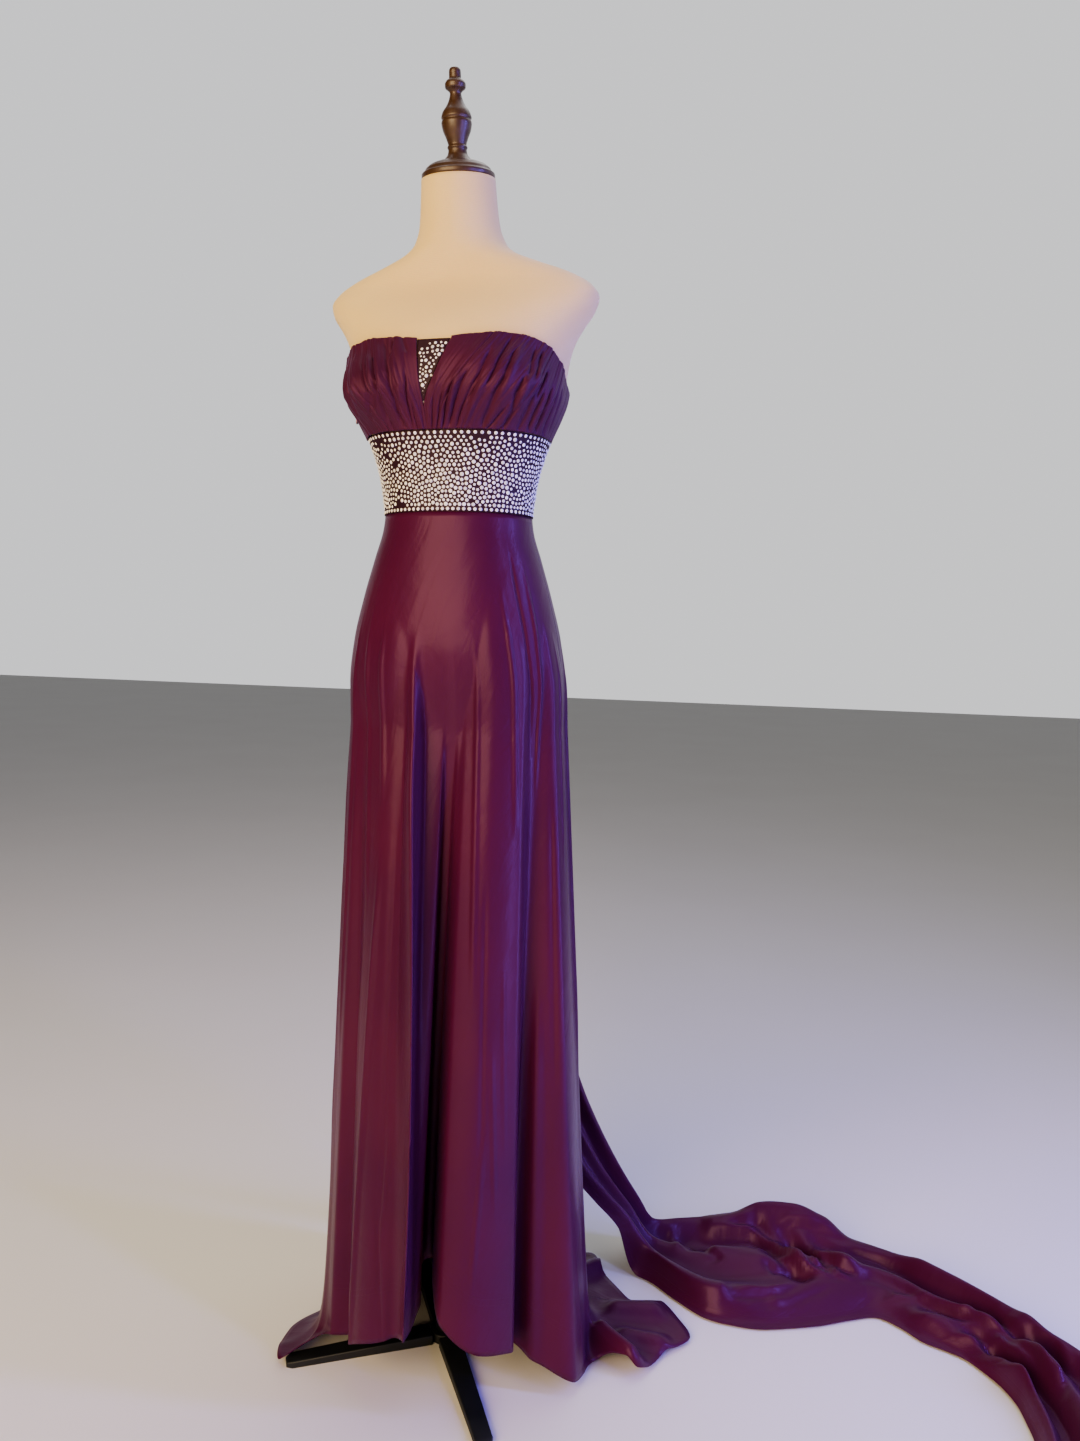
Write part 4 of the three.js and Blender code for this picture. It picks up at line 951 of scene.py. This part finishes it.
# The gathers listed one by one, on each cup's flat cloth: half the width, the height, and the
# line's points, in mm from the V and up from the band.
CUP_FLAT = (180, 110)
CUP_FOLDS = {
    -1: [
        (2.2, -5.0, [(56, 114), (61, 77), (66, 42), (91, 14)]),
        (1.8, -3.5, [(72, 107), (67, 70), (71, 42), (104, 6)]),
        (2.6, -6.0, [(32, 114), (32, 90), (34, 65), (44, 35), (60, 0)]),
        (1.8, -3.5, [(48, 100), (53, 55), (66, 29), (80, 3)]),
        (2.0, -4.5, [(13, 116), (11, 102), (9, 88)]),
        (1.8, -4.0, [(20, 112), (25, 97), (30, 82)]),
        (1.8, -4.0, [(13, 75), (18, 50), (29, 30), (41, 0)]),
        (1.8, -3.0, [(1, 88), (2, 60), (6, 28), (16, -4)]),
        (2.0, -3.5, [(90, 106), (93, 77), (99, 46), (124, 14)]),
        (2.0, -3.0, [(116, 104), (115, 64), (130, 38), (150, 4)]),
        (1.7, -3.2, [(35, 50), (48, 24), (56, -4)]),
        (1.6, -2.6, [(52, 50), (67, 24), (77, -4)]),
        (1.5, -2.4, [(19, 33), (28, 14), (32, -4)]),
        (1.9, -3.6, [(138, 108), (137, 62), (152, 26), (160, -2)]),
        (2.2, -4.2, [(155, 100), (158, 58), (166, 8)]),
        (1.8, -3.0, [(168, 104), (170, 60), (175, 20)]),
        (3.0, 2.6, [(40, 110), (43, 67), (56, 33)]),
        (3.2, 2.6, [(23, 85), (27, 50), (40, 24)]),
        (2.6, 2.0, [(55, 94), (55, 68), (63, 38)]),
        (3.0, 2.2, [(80, 98), (80, 62), (90, 30)]),
        (3.0, 2.2, [(104, 92), (105, 60), (118, 28)]),
        (3.4, 2.0, [(146, 92), (147, 58), (158, 24)]),
    ],
    1: [
        (1.8, -3.0, [(3, 46), (8, 19), (12, -4)]),
        (1.8, -2.6, [(17, 40), (23, 14), (28, -4)]),
        (1.8, -3.0, [(28, 46), (35, 18), (38, -4)]),
        (2.4, -4.5, [(34, 58), (40, 38), (46, 13), (48, -4)]),
        (2.4, -3.4, [(41, 72), (50, 43), (56, 18), (58, -2)]),
        (1.8, -2.8, [(58, 66), (65, 36), (68, 13), (70, -4)]),
        (2.4, -3.2, [(44, 100), (57, 69), (68, 42), (74, 15)]),
        (2.2, -5.0, [(59, 110), (66, 82), (73, 62), (80, 38)]),
        (2.6, -4.4, [(86, 62), (91, 39), (96, 23), (99, -3)]),
        (2.0, -3.6, [(73, 94), (85, 62), (93, 40)]),
        (2.2, -5.5, [(102, 66), (109, 41), (117, 23), (121, -2)]),
        (1.6, -3.0, [(121, 28), (119, 8), (113, -4)]),
        (1.6, -2.6, [(110, 24), (107, 7), (102, -4)]),
        (2.2, -6.0, [(124, 62), (127, 36), (132, 19), (136, -4)]),
        (1.8, -5.0, [(133, 58), (139, 28), (147, -4)]),
        (2.0, -6.0, [(140, 66), (149, 28), (156, -4)]),
        (1.8, -4.5, [(151, 69), (160, 31), (167, -4)]),
        (1.8, -4.0, [(159, 82), (169, 42), (176, 0)]),
        (1.8, -4.0, [(125, 82), (128, 55), (132, 34)]),
        (2.0, -3.0, [(94, 104), (103, 75), (111, 50)]),
        (1.8, -3.0, [(105, 102), (112, 76), (117, 52)]),
        (3.4, 2.6, [(32, 68), (46, 37), (57, 9)]),
        (3.0, 2.4, [(70, 54), (77, 29), (80, 2)]),
        (3.2, 2.6, [(76, 104), (85, 73), (94, 46), (104, 20)]),
        (3.0, 2.4, [(104, 70), (115, 40), (123, 15)]),
        (2.6, 2.2, [(114, 75), (123, 48), (129, 25)]),
        (3.4, 1.8, [(1, 92), (9, 67), (18, 42)]),
    ],
}

# Satin chiffon: a soft sheer weave with one matt-satin face. Each gather is a soft fold with a
# dark crease beside it, and the light runs along its crest.
chiffon = new_material("plum_satin_chiffon")
cloth = add_node(chiffon, "UVMap", uv_map="cloth")
place = add_node(chiffon, "TexCoord")
fine_lines = add_node(chiffon, "Mapping", {"Vector": cloth["UV"], "Scale": (900.0, 40.0, 1.0)})
yarn = add_node(
    chiffon, "TexNoise",
    {"Vector": fine_lines["Vector"], "Scale": 1.0, "Detail": 3.0, "Roughness": 0.6},
)
cloudy = add_node(chiffon, "TexNoise", {"Vector": place["Object"], "Scale": 14.0, "Detail": 2.0})
tone = add_node(
    chiffon, "Mix", {
        "Factor": cloudy["Fac"], "A": hex_colour("#3c1631"), "B": hex_colour("#4f1f37"),
    },
    data_type="RGBA",
)
bump = add_node(chiffon, "Bump", {"Height": yarn["Fac"], "Strength": 0.3, "Distance": 0.0006})
warp = add_node(chiffon, "Tangent", direction_type="UV_MAP", uv_map="cloth")
shade = add_node(
    chiffon, "BsdfPrincipled", {
        "Base Color": tone["Result"], "Roughness": 0.52, "IOR": 1.5, "Specular IOR Level": 0.5,
        "Specular Tint": hex_colour("#d8a4cc"), "Anisotropic": 0.4, "Sheen Weight": 0.2,
        "Sheen Roughness": 0.4, "Sheen Tint": hex_colour("#a383cc"), "Tangent": warp["Tangent"],
        "Normal": bump["Normal"],
    },
)
add_node(chiffon, "OutputMaterial", {"Surface": shade["BSDF"]})


def top_edge(angle):
    """The height of the bodice's top edge at an angle."""
    folded = np.abs(np.asarray(angle, float) + 90)
    return read(TOP_EDGE, -90 + np.minimum(folded, 360 - folded))[0]


def inset_edge(side, z):
    """The angle of the V's edge on one side: below its tip the two cups meet there."""
    share = np.clip((z - INSET["tip"]) / (INSET["top"] - INSET["tip"]), 0, 1)
    return mix(INSET["tip_at"], INSET["left_at"] if side > 0 else INSET["right_at"], share)


def gather_height(turns, seed):
    """The height of gathers at a count of turns: soft folds with a narrow crease between them."""
    shift = 0.2 * np.sin(2.1 * turns + seed) + 0.14 * np.sin(5.3 * turns + 2 * seed)
    phase = np.mod(turns + shift, 1)
    main = np.sin(np.pi * phase**0.6) ** 0.7
    fine = np.abs(np.sin(np.pi * (2.6 * turns + 0.4 * np.sin(1.7 * turns + seed)))) ** 0.7
    return GATHERS["rise"] * main + GATHERS["fine"] * fine


def cup_surface(side, share, level):
    """The outer face of one cup, side 1 on the left as worn and -1 on the right."""
    bottom = UNDERBUST + SEAM
    outer = -SEAM_TURN / 2 if side > 0 else -180 + SEAM_TURN / 2
    centre_z = mix(bottom, top_edge(inset_edge(side, INSET["top"])), level)
    centre = inset_edge(side, centre_z) + side * SEAM_TURN / 2
    low = mix(inset_edge(side, bottom) + side * SEAM_TURN / 2, outer, share ** GATHERS["crowd"][side])
    high = mix(centre, outer, share ** GATHERS["fan"])
    slanted = mix(low, high, smooth(level) * 0.4 + level * 0.6)
    angle = np.maximum(centre, slanted) if side > 0 else np.minimum(centre, slanted)
    ends = smooth(np.minimum(share, 1 - share) * 9)
    uneven = 0.7 + 0.4 * np.sin(2.4 * GATHERS["count"] * share + side)
    puff = 1.6 * np.sin(np.pi * np.clip(level * 0.9 + 0.08, 0, 1))
    raised = gather_height(GATHERS["count"] * share, 1.5 + side) * uneven + puff
    raised = raised + folds_along(CUP_FOLDS[side], share * CUP_FLAT[0], level * CUP_FLAT[1])
    raised = np.maximum(raised, GATHERS["deepest"]) * ends
    z = mix(bottom, top_edge(angle) + 0.35 * raised, level)
    return on_form(angle, z, CUP_EASE + BODICE_WALL + raised)


for side, name in ((1, "cup_left"), (-1, "cup_right")):
    share = np.linspace(0, 1, CUP_COLUMNS)[None, :]
    level = np.linspace(0, 1, CUP_ROWS)[:, None]
    grid = cup_surface(side, share, level)
    piece = cloth_wall(name + "_gathered", grid, -side, CHIFFON_THICK, chiffon)
    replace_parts(piece, name)

BACK_GATHERS = 24
share = np.linspace(0, 1, 280)[None, :]
level = np.linspace(0, 1, 30)[:, None]
angle = mix(SEAM_TURN, 180 - SEAM_TURN, share) + 0 * level
raised = gather_height(BACK_GATHERS * share, 0.7) * smooth(np.minimum(share, 1 - share) * 9)
back_z = mix(UNDERBUST + SEAM, top_edge(angle), level)
grid = on_form(angle, back_z, CUP_EASE + BODICE_WALL + raised * (0.5 + 0.5 * level))
piece = cloth_wall("bodice_back_gathered", grid, -1, CHIFFON_THICK, chiffon)
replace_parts(piece, "bodice_back")


# Beaded midriff band and V
# A plain satin band, front and back, and the V between the cups, all covered with round domed
# beads that are sewn on one by one: a row along each edge, and the rest close together in between.
BAND_EASE = 1.7
BAND_WALL = 2.2
BEAD = {"small": 5.0, "large": 6.6, "cover": 0.71, "gap": 0.6, "edge": 6.0, "edge_gap": 7.5, "rise": 0.42}
PACKING_STEPS = 90

# Foiled acrylic beads: clear domes over a silver foil, so each is white with a bright point.
beads = new_material("foiled_acrylic_beads")
shade_of = add_node(beads, "Attribute", attribute_name="bead_tone")
tone = add_node(
    beads, "Mix", {
        "Factor": shade_of["Fac"], "A": hex_colour("#d6d4d6"), "B": hex_colour("#ffffff"),
    },
    data_type="RGBA",
)
shade = add_node(
    beads, "BsdfPrincipled", {
        "Base Color": tone["Result"], "Roughness": 0.16, "IOR": 1.49, "Specular IOR Level": 0.6,
        "Coat Weight": 0.5, "Coat Roughness": 0.08,
    },
)
add_node(beads, "OutputMaterial", {"Surface": shade["BSDF"]})


# The band itself is a dull plum satin, drawn near-black: the cloth's own plum with painted shade
# over it, for the shadow that falls between the beads.
ground = new_material("plum_satin_with_painted_shade")
place = add_node(ground, "TexCoord")
weave = add_node(ground, "TexNoise", {"Vector": place["Object"], "Scale": 900.0})
bump = add_node(ground, "Bump", {"Height": weave["Fac"], "Strength": 0.2, "Distance": 0.0004})
shade = add_node(
    ground, "BsdfPrincipled", {
        # Near-black plum base: the band's plum with painted shade for the dark between the beads.
        "Base Color": hex_colour("#2b0b1e"), "Roughness": 0.6, "IOR": 1.5, "Specular IOR Level": 0.3,
        "Normal": bump["Normal"],
    },
)
add_node(ground, "OutputMaterial", {"Surface": shade["BSDF"]})


def packed(width, height, cover, small, large, seed):
    """Places and diameters of beads on a flat strip that closes on itself: they start at random,
    and push each other apart until they lie side by side."""
    rng = np.random.default_rng(seed)
    middle = (small + large) / 2
    count = int(cover * width * height / (math.pi / 4 * middle**2))
    size = rng.uniform(small, large, count).astype(np.float32)
    x = rng.uniform(0, width, count).astype(np.float32)
    y = rng.uniform(middle / 2, height - middle / 2, count).astype(np.float32)
    apart = (size[:, None] + size[None, :]) / 2 + BEAD["gap"]
    for _ in range(PACKING_STEPS):
        dx = x[:, None] - x[None, :]
        dx -= width * np.round(dx / width)
        dy = y[:, None] - y[None, :]
        far = np.sqrt(dx**2 + dy**2) + 1e-6
        push = np.maximum(apart - far, 0) / far * 0.42
        np.fill_diagonal(push, 0)
        x = np.mod(x + (push * dx).sum(1), width)
        y = np.clip(y + (push * dy).sum(1), size / 2, height - size / 2)
    return np.stack([x, y, size], axis=-1).astype(float)


def dome_beads(name, centres, normals, sizes, tones, material):
    """One mesh of many domed beads, each flat side down on the cloth."""
    around = np.linspace(0, 2 * np.pi, 10, endpoint=False)
    levels = [(1.0, 0.0), (0.9, 0.45), (0.55, 0.84)]
    unit = np.array([(r * math.cos(t), r * math.sin(t), h) for r, h in levels for t in around] + [(0, 0, 1.0)])
    ring = len(around)
    faces = loop_faces(len(levels), ring).tolist()
    quads = np.array(faces)
    last = (len(levels) - 1) * ring
    tris = np.array([(last + k, last + (k + 1) % ring, len(unit) - 1) for k in range(ring)])
    helper = np.where(np.abs(normals[:, 2:3]) < 0.9, [[0, 0, 1.0]], [[1.0, 0, 0]])
    side = np.cross(helper, normals)
    side /= np.linalg.norm(side, axis=1, keepdims=True)
    up = np.cross(normals, side)
    basis = np.stack([side, up, normals], axis=1)
    scaled = unit[None] * (sizes[:, None, None] / 2) * np.array([1, 1, 2 * BEAD["rise"]])
    points = centres[:, None] + np.einsum("nij,njk->nik", scaled, basis)
    shift = (np.arange(len(centres)) * len(unit))[:, None, None]
    all_faces = (quads[None] + shift).reshape(-1, 4).tolist() + (tris[None] + shift).reshape(-1, 3).tolist()
    piece = add_piece(name, points.reshape(-1, 3), all_faces, material)
    layer = piece.data.attributes.new("bead_tone", "FLOAT", "POINT")
    layer.data.foreach_set("value", np.repeat(tones, len(unit)).astype(np.float32))


def band_point(share, high, out):
    """A point on the band, by its share of the way round from the right side seam."""
    angle = np.interp(share, band_gone / band_gone[-1], band_angle)
    return on_form(angle, WAIST + high, out)


band_angle = np.linspace(-180, 180, 1441)
band_line = on_form(band_angle, (WAIST + UNDERBUST) / 2, BAND_EASE + BAND_WALL)
band_gone = np.concatenate([[0], np.cumsum(np.linalg.norm(np.diff(band_line, axis=0), axis=-1))])
band_round = band_gone[-1]
band_high = UNDERBUST - WAIST
inside = packed(band_round, band_high - 2 * BEAD["edge"], BEAD["cover"], BEAD["small"], BEAD["large"], 7)
inside[:, 1] += BEAD["edge"]
edge_count = int(band_round / BEAD["edge_gap"])
edge = [
    ((k + 0.5) * band_round / edge_count, y, BEAD["edge"])
    for y in (BEAD["edge"] / 2 + 0.2, band_high - BEAD["edge"] / 2 - 0.2)
    for k in range(edge_count)
]
all_beads = np.concatenate([inside, np.array(edge)])
rng = np.random.default_rng(11)
bead_tones = rng.uniform(0, 1, len(all_beads))
share = all_beads[:, 0] / band_round
base = band_point(share, all_beads[:, 1], BAND_EASE + BAND_WALL - 0.1)
aside = band_point(np.mod(share + 0.002, 1), all_beads[:, 1], BAND_EASE + BAND_WALL - 0.1) - base
above = band_point(share, all_beads[:, 1] + 1, BAND_EASE + BAND_WALL - 0.1) - base
normal = np.cross(aside, above)
normal /= np.linalg.norm(normal, axis=1, keepdims=True)
for name in ("front", "back"):
    seams = (-180, 0) if name == "front" else (0, 180)
    seam_share = [np.interp(a, band_angle, band_gone) / band_round for a in seams]
    here = (share >= seam_share[0]) & (share < seam_share[1])
    dome_beads(f"beads_{name}", base[here], normal[here], all_beads[here, 2], bead_tones[here], beads)
    angle = np.linspace(*seams, 150)
    grid = on_form(angle[None, :], np.linspace(WAIST, UNDERBUST, 30)[:, None], BAND_EASE + BAND_WALL)
    # The band cloth takes the near-black material: painted shade between the beads.
    piece = cloth_wall(f"band_{name}_satin", grid, -1, 1.4, ground)
    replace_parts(piece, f"band_{name}")

inset_z = np.linspace(INSET["tip"] + 6, INSET["top"], 40)[:, None]
inset_from = inset_edge(-1, inset_z) + 1.5 * SEAM_TURN
inset_to = inset_edge(1, inset_z) - 2 * SEAM_TURN
inset_out = CUP_EASE + BODICE_WALL - INSET["set_back"]
grid = on_form(mix(inset_from, inset_to, np.linspace(0, 1, 24)[None, :]), inset_z, inset_out)
# The V's ground takes the same near-black material: painted shade between its beads.
piece = cloth_wall("bust_inset_satin", grid, -1, CHIFFON_THICK, ground)
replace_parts(piece, "bust_inset")

inset_beads = packed(60, INSET["top"] - INSET["tip"] - 5, 0.62, 3.6, 6.0, 3)
tip_beads = np.array([(0.5, 4.5, 2.6), (0.46, 8.5, 2.9), (0.56, 12.6, 3.2), (0.4, 17.0, 3.4), (0.6, 20.4, 3.4)])
z = INSET["tip"] + 2 + inset_beads[:, 1]
left_x, right_x = (on_form(inset_edge(s, z), z, inset_out)[:, 0] for s in (-1, 1))
x = left_x.min() - 2 + inset_beads[:, 0]
keep = (x - inset_beads[:, 2] / 2 > left_x + 0.4) & (x + inset_beads[:, 2] / 2 < right_x - 0.4)
keep &= z > INSET["tip"] + tip_beads[-1, 1] + 3
share = np.concatenate([((x - left_x) / (right_x - left_x))[keep], tip_beads[:, 0]])
z = np.concatenate([z[keep], INSET["tip"] + tip_beads[:, 1]])
inset_sizes = np.concatenate([inset_beads[keep, 2], tip_beads[:, 2]])
angle = mix(inset_edge(-1, z), inset_edge(1, z), share)
base = on_form(angle, z, inset_out - 0.1)
aside = on_form(angle + 0.2, z, inset_out - 0.1) - base
above = on_form(angle, z + 1, inset_out - 0.1) - base
normal = np.cross(aside, above)
normal /= np.linalg.norm(normal, axis=1, keepdims=True)
dome_beads("beads_inset", base, normal, inset_sizes, rng.uniform(0, 1, len(z)), beads)


# Zip
# A concealed zip in the right side seam, from the top edge to the hip: its two satin lips meet
# over the coil, and a small lacquered slider with a drop-shaped pull rests at the top.
zip_metal = new_material("lacquered_zinc")
place = add_node(zip_metal, "TexCoord")
scratches = add_node(
    zip_metal, "TexNoise", {"Vector": place["Object"], "Scale": 700.0, "Detail": 3.0}
)
gloss = add_node(
    zip_metal, "MapRange", {"Value": scratches["Fac"], "To Min": 0.26, "To Max": 0.42}
)
shade = add_node(
    zip_metal, "BsdfPrincipled", {
        "Base Color": hex_colour("#5b2740"), "Metallic": 0.6, "Roughness": gloss["Result"],
        "Coat Weight": 0.5, "Coat Roughness": 0.15,
    },
)
add_node(zip_metal, "OutputMaterial", {"Surface": shade["BSDF"]})
for name in ("zip_slider", "zip_pull"):
    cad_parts[name].data.materials.clear()
    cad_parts[name].data.materials.append(zip_metal)
ZIP = {"top": 1356, "bottom": 1040, "half": 3, "out": 6.3, "wall": 0.8, "groove": 0.5}
SEAM_FROM_AXIS = 150
zip_half = math.degrees(ZIP["half"] / SEAM_FROM_AXIS)
zip_z = np.linspace(ZIP["top"], ZIP["bottom"], 90)[:, None]
aside = np.linspace(-1, 1, 17)[None, :]
meeting = ZIP["groove"] * np.exp(-((aside / 0.16) ** 2))
rounded = 0.5 * aside**4
grid = on_form(180 + aside * zip_half, zip_z, ZIP["out"] - meeting - rounded)
piece = cloth_wall("zip_lips", grid, -1, ZIP["wall"], satin)
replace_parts(piece, "zip_tape")


# Floor, light and camera
# A plain pale studio floor, a warm soft light from the front left, a cool one from the right, and
# the camera at the photo's place: a little below the waist, 15 degrees round to the gown's left.
VIEW = {"from_pole": 1.5085, "aside": 0.118, "turn": 15.4, "high": 1.044, "down": 5, "roll": 1.3, "lens": 27.03}

pale = new_material("pale_floor_paint")
place = add_node(pale, "TexCoord")
mottle = add_node(pale, "TexNoise", {"Vector": place["Object"], "Scale": 1.5, "Detail": 3.0})
tone = add_node(
    pale, "Mix", {
        "Factor": mottle["Fac"], "A": hex_colour("#e6e4e1"), "B": hex_colour("#ecebe8"),
    },
    data_type="RGBA",
)
shade = add_node(pale, "BsdfPrincipled", {"Base Color": tone["Result"], "Roughness": 0.8})
add_node(pale, "OutputMaterial", {"Surface": shade["BSDF"]})
mesh = bpy.data.meshes.new("floor")
mesh.from_pydata([(-14, -14, 0), (14, -14, 0), (14, 14, 0), (-14, 14, 0)], [], [(0, 1, 2, 3)])
mesh.materials.append(pale)
floor = bpy.data.objects.new("floor", mesh)
bpy.context.scene.collection.objects.link(floor)

# Light comes from the studio's far wall, and the room behind the camera is dark, so that the folds
# keep their shade.
ROOM = {"front": 0.05, "wall": 0.9}
world = bpy.data.worlds.new("studio")
world.use_nodes = True
world.node_tree.nodes.clear()
place = add_node(world, "TexCoord")
way = add_node(world, "SeparateXYZ", {"Vector": place["Generated"]})
wall_light = add_node(
    world, "MapRange", {
        "Value": way["Y"], "From Min": 0.3, "From Max": 0.6, "To Min": ROOM["front"],
        "To Max": ROOM["wall"],
    },
    interpolation_type="SMOOTHSTEP",
)
background = add_node(
    world, "Background", {"Color": hex_colour("#e8e8ea"), "Strength": wall_light["Result"]}
)
add_node(world, "OutputWorld", {"Surface": background["Background"]})
bpy.context.scene.world = world

# Each light: name, place, the point it faces, width and height, power and colour.
LIGHTS = [
    ("warm_front", (-0.7, -2.95, 1.8), (0.0, 0.0, 0.75), 2.5, 2.3, 142, "#ffe0b0"),
    ("cool_window", (1.85, -0.85, 1.1), (0.0, 0.0, 0.8), 0.12, 2.3, 25, "#9084ff"),
    ("cool_door", (2.0, 0.1, 1.1), (0.0, 0.0, 0.8), 0.16, 2.3, 42, "#8f84ff"),
    ("soft_top", (0.2, 0.5, 3.4), (0.0, 0.0, 0.9), 2.2, 2.2, 24, "#ffffff"),
]
for name, place_m, target, width, height, power, code in LIGHTS:
    data = bpy.data.lights.new(name, "AREA")
    data.shape = "RECTANGLE"
    data.size = width
    data.size_y = height
    data.energy = power
    data.color = hex_colour(code)[:3]
    light = bpy.data.objects.new(name, data)
    way = np.array(target) - np.array(place_m)
    light.location = place_m
    yaw = math.atan2(-way[0], way[1])
    pitch = math.atan2(way[2], math.hypot(way[0], way[1]))
    light.rotation_euler = (math.pi / 2 + pitch, 0, yaw)
    bpy.context.scene.collection.objects.link(light)

bpy.context.scene.view_settings.look = "AgX - Medium High Contrast"

turn = math.radians(VIEW["turn"])
camera_data = bpy.data.cameras.new("camera")
camera_data.sensor_fit = "VERTICAL"
camera_data.sensor_height = 36
camera_data.sensor_width = 36
camera_data.lens = VIEW["lens"]
camera = bpy.data.objects.new("camera", camera_data)
spot = (
    VIEW["aside"] * math.cos(turn) + VIEW["from_pole"] * math.sin(turn),
    VIEW["aside"] * math.sin(turn) - VIEW["from_pole"] * math.cos(turn),
    VIEW["high"],
)
camera.matrix_world = (
    Matrix.Translation(spot)
    @ Matrix.Rotation(turn, 4, "Z")
    @ Matrix.Rotation(math.radians(90 - VIEW["down"]), 4, "X")
    @ Matrix.Rotation(math.radians(VIEW["roll"]), 4, "Z")
)
bpy.context.scene.collection.objects.link(camera)
bpy.context.scene.camera = camera
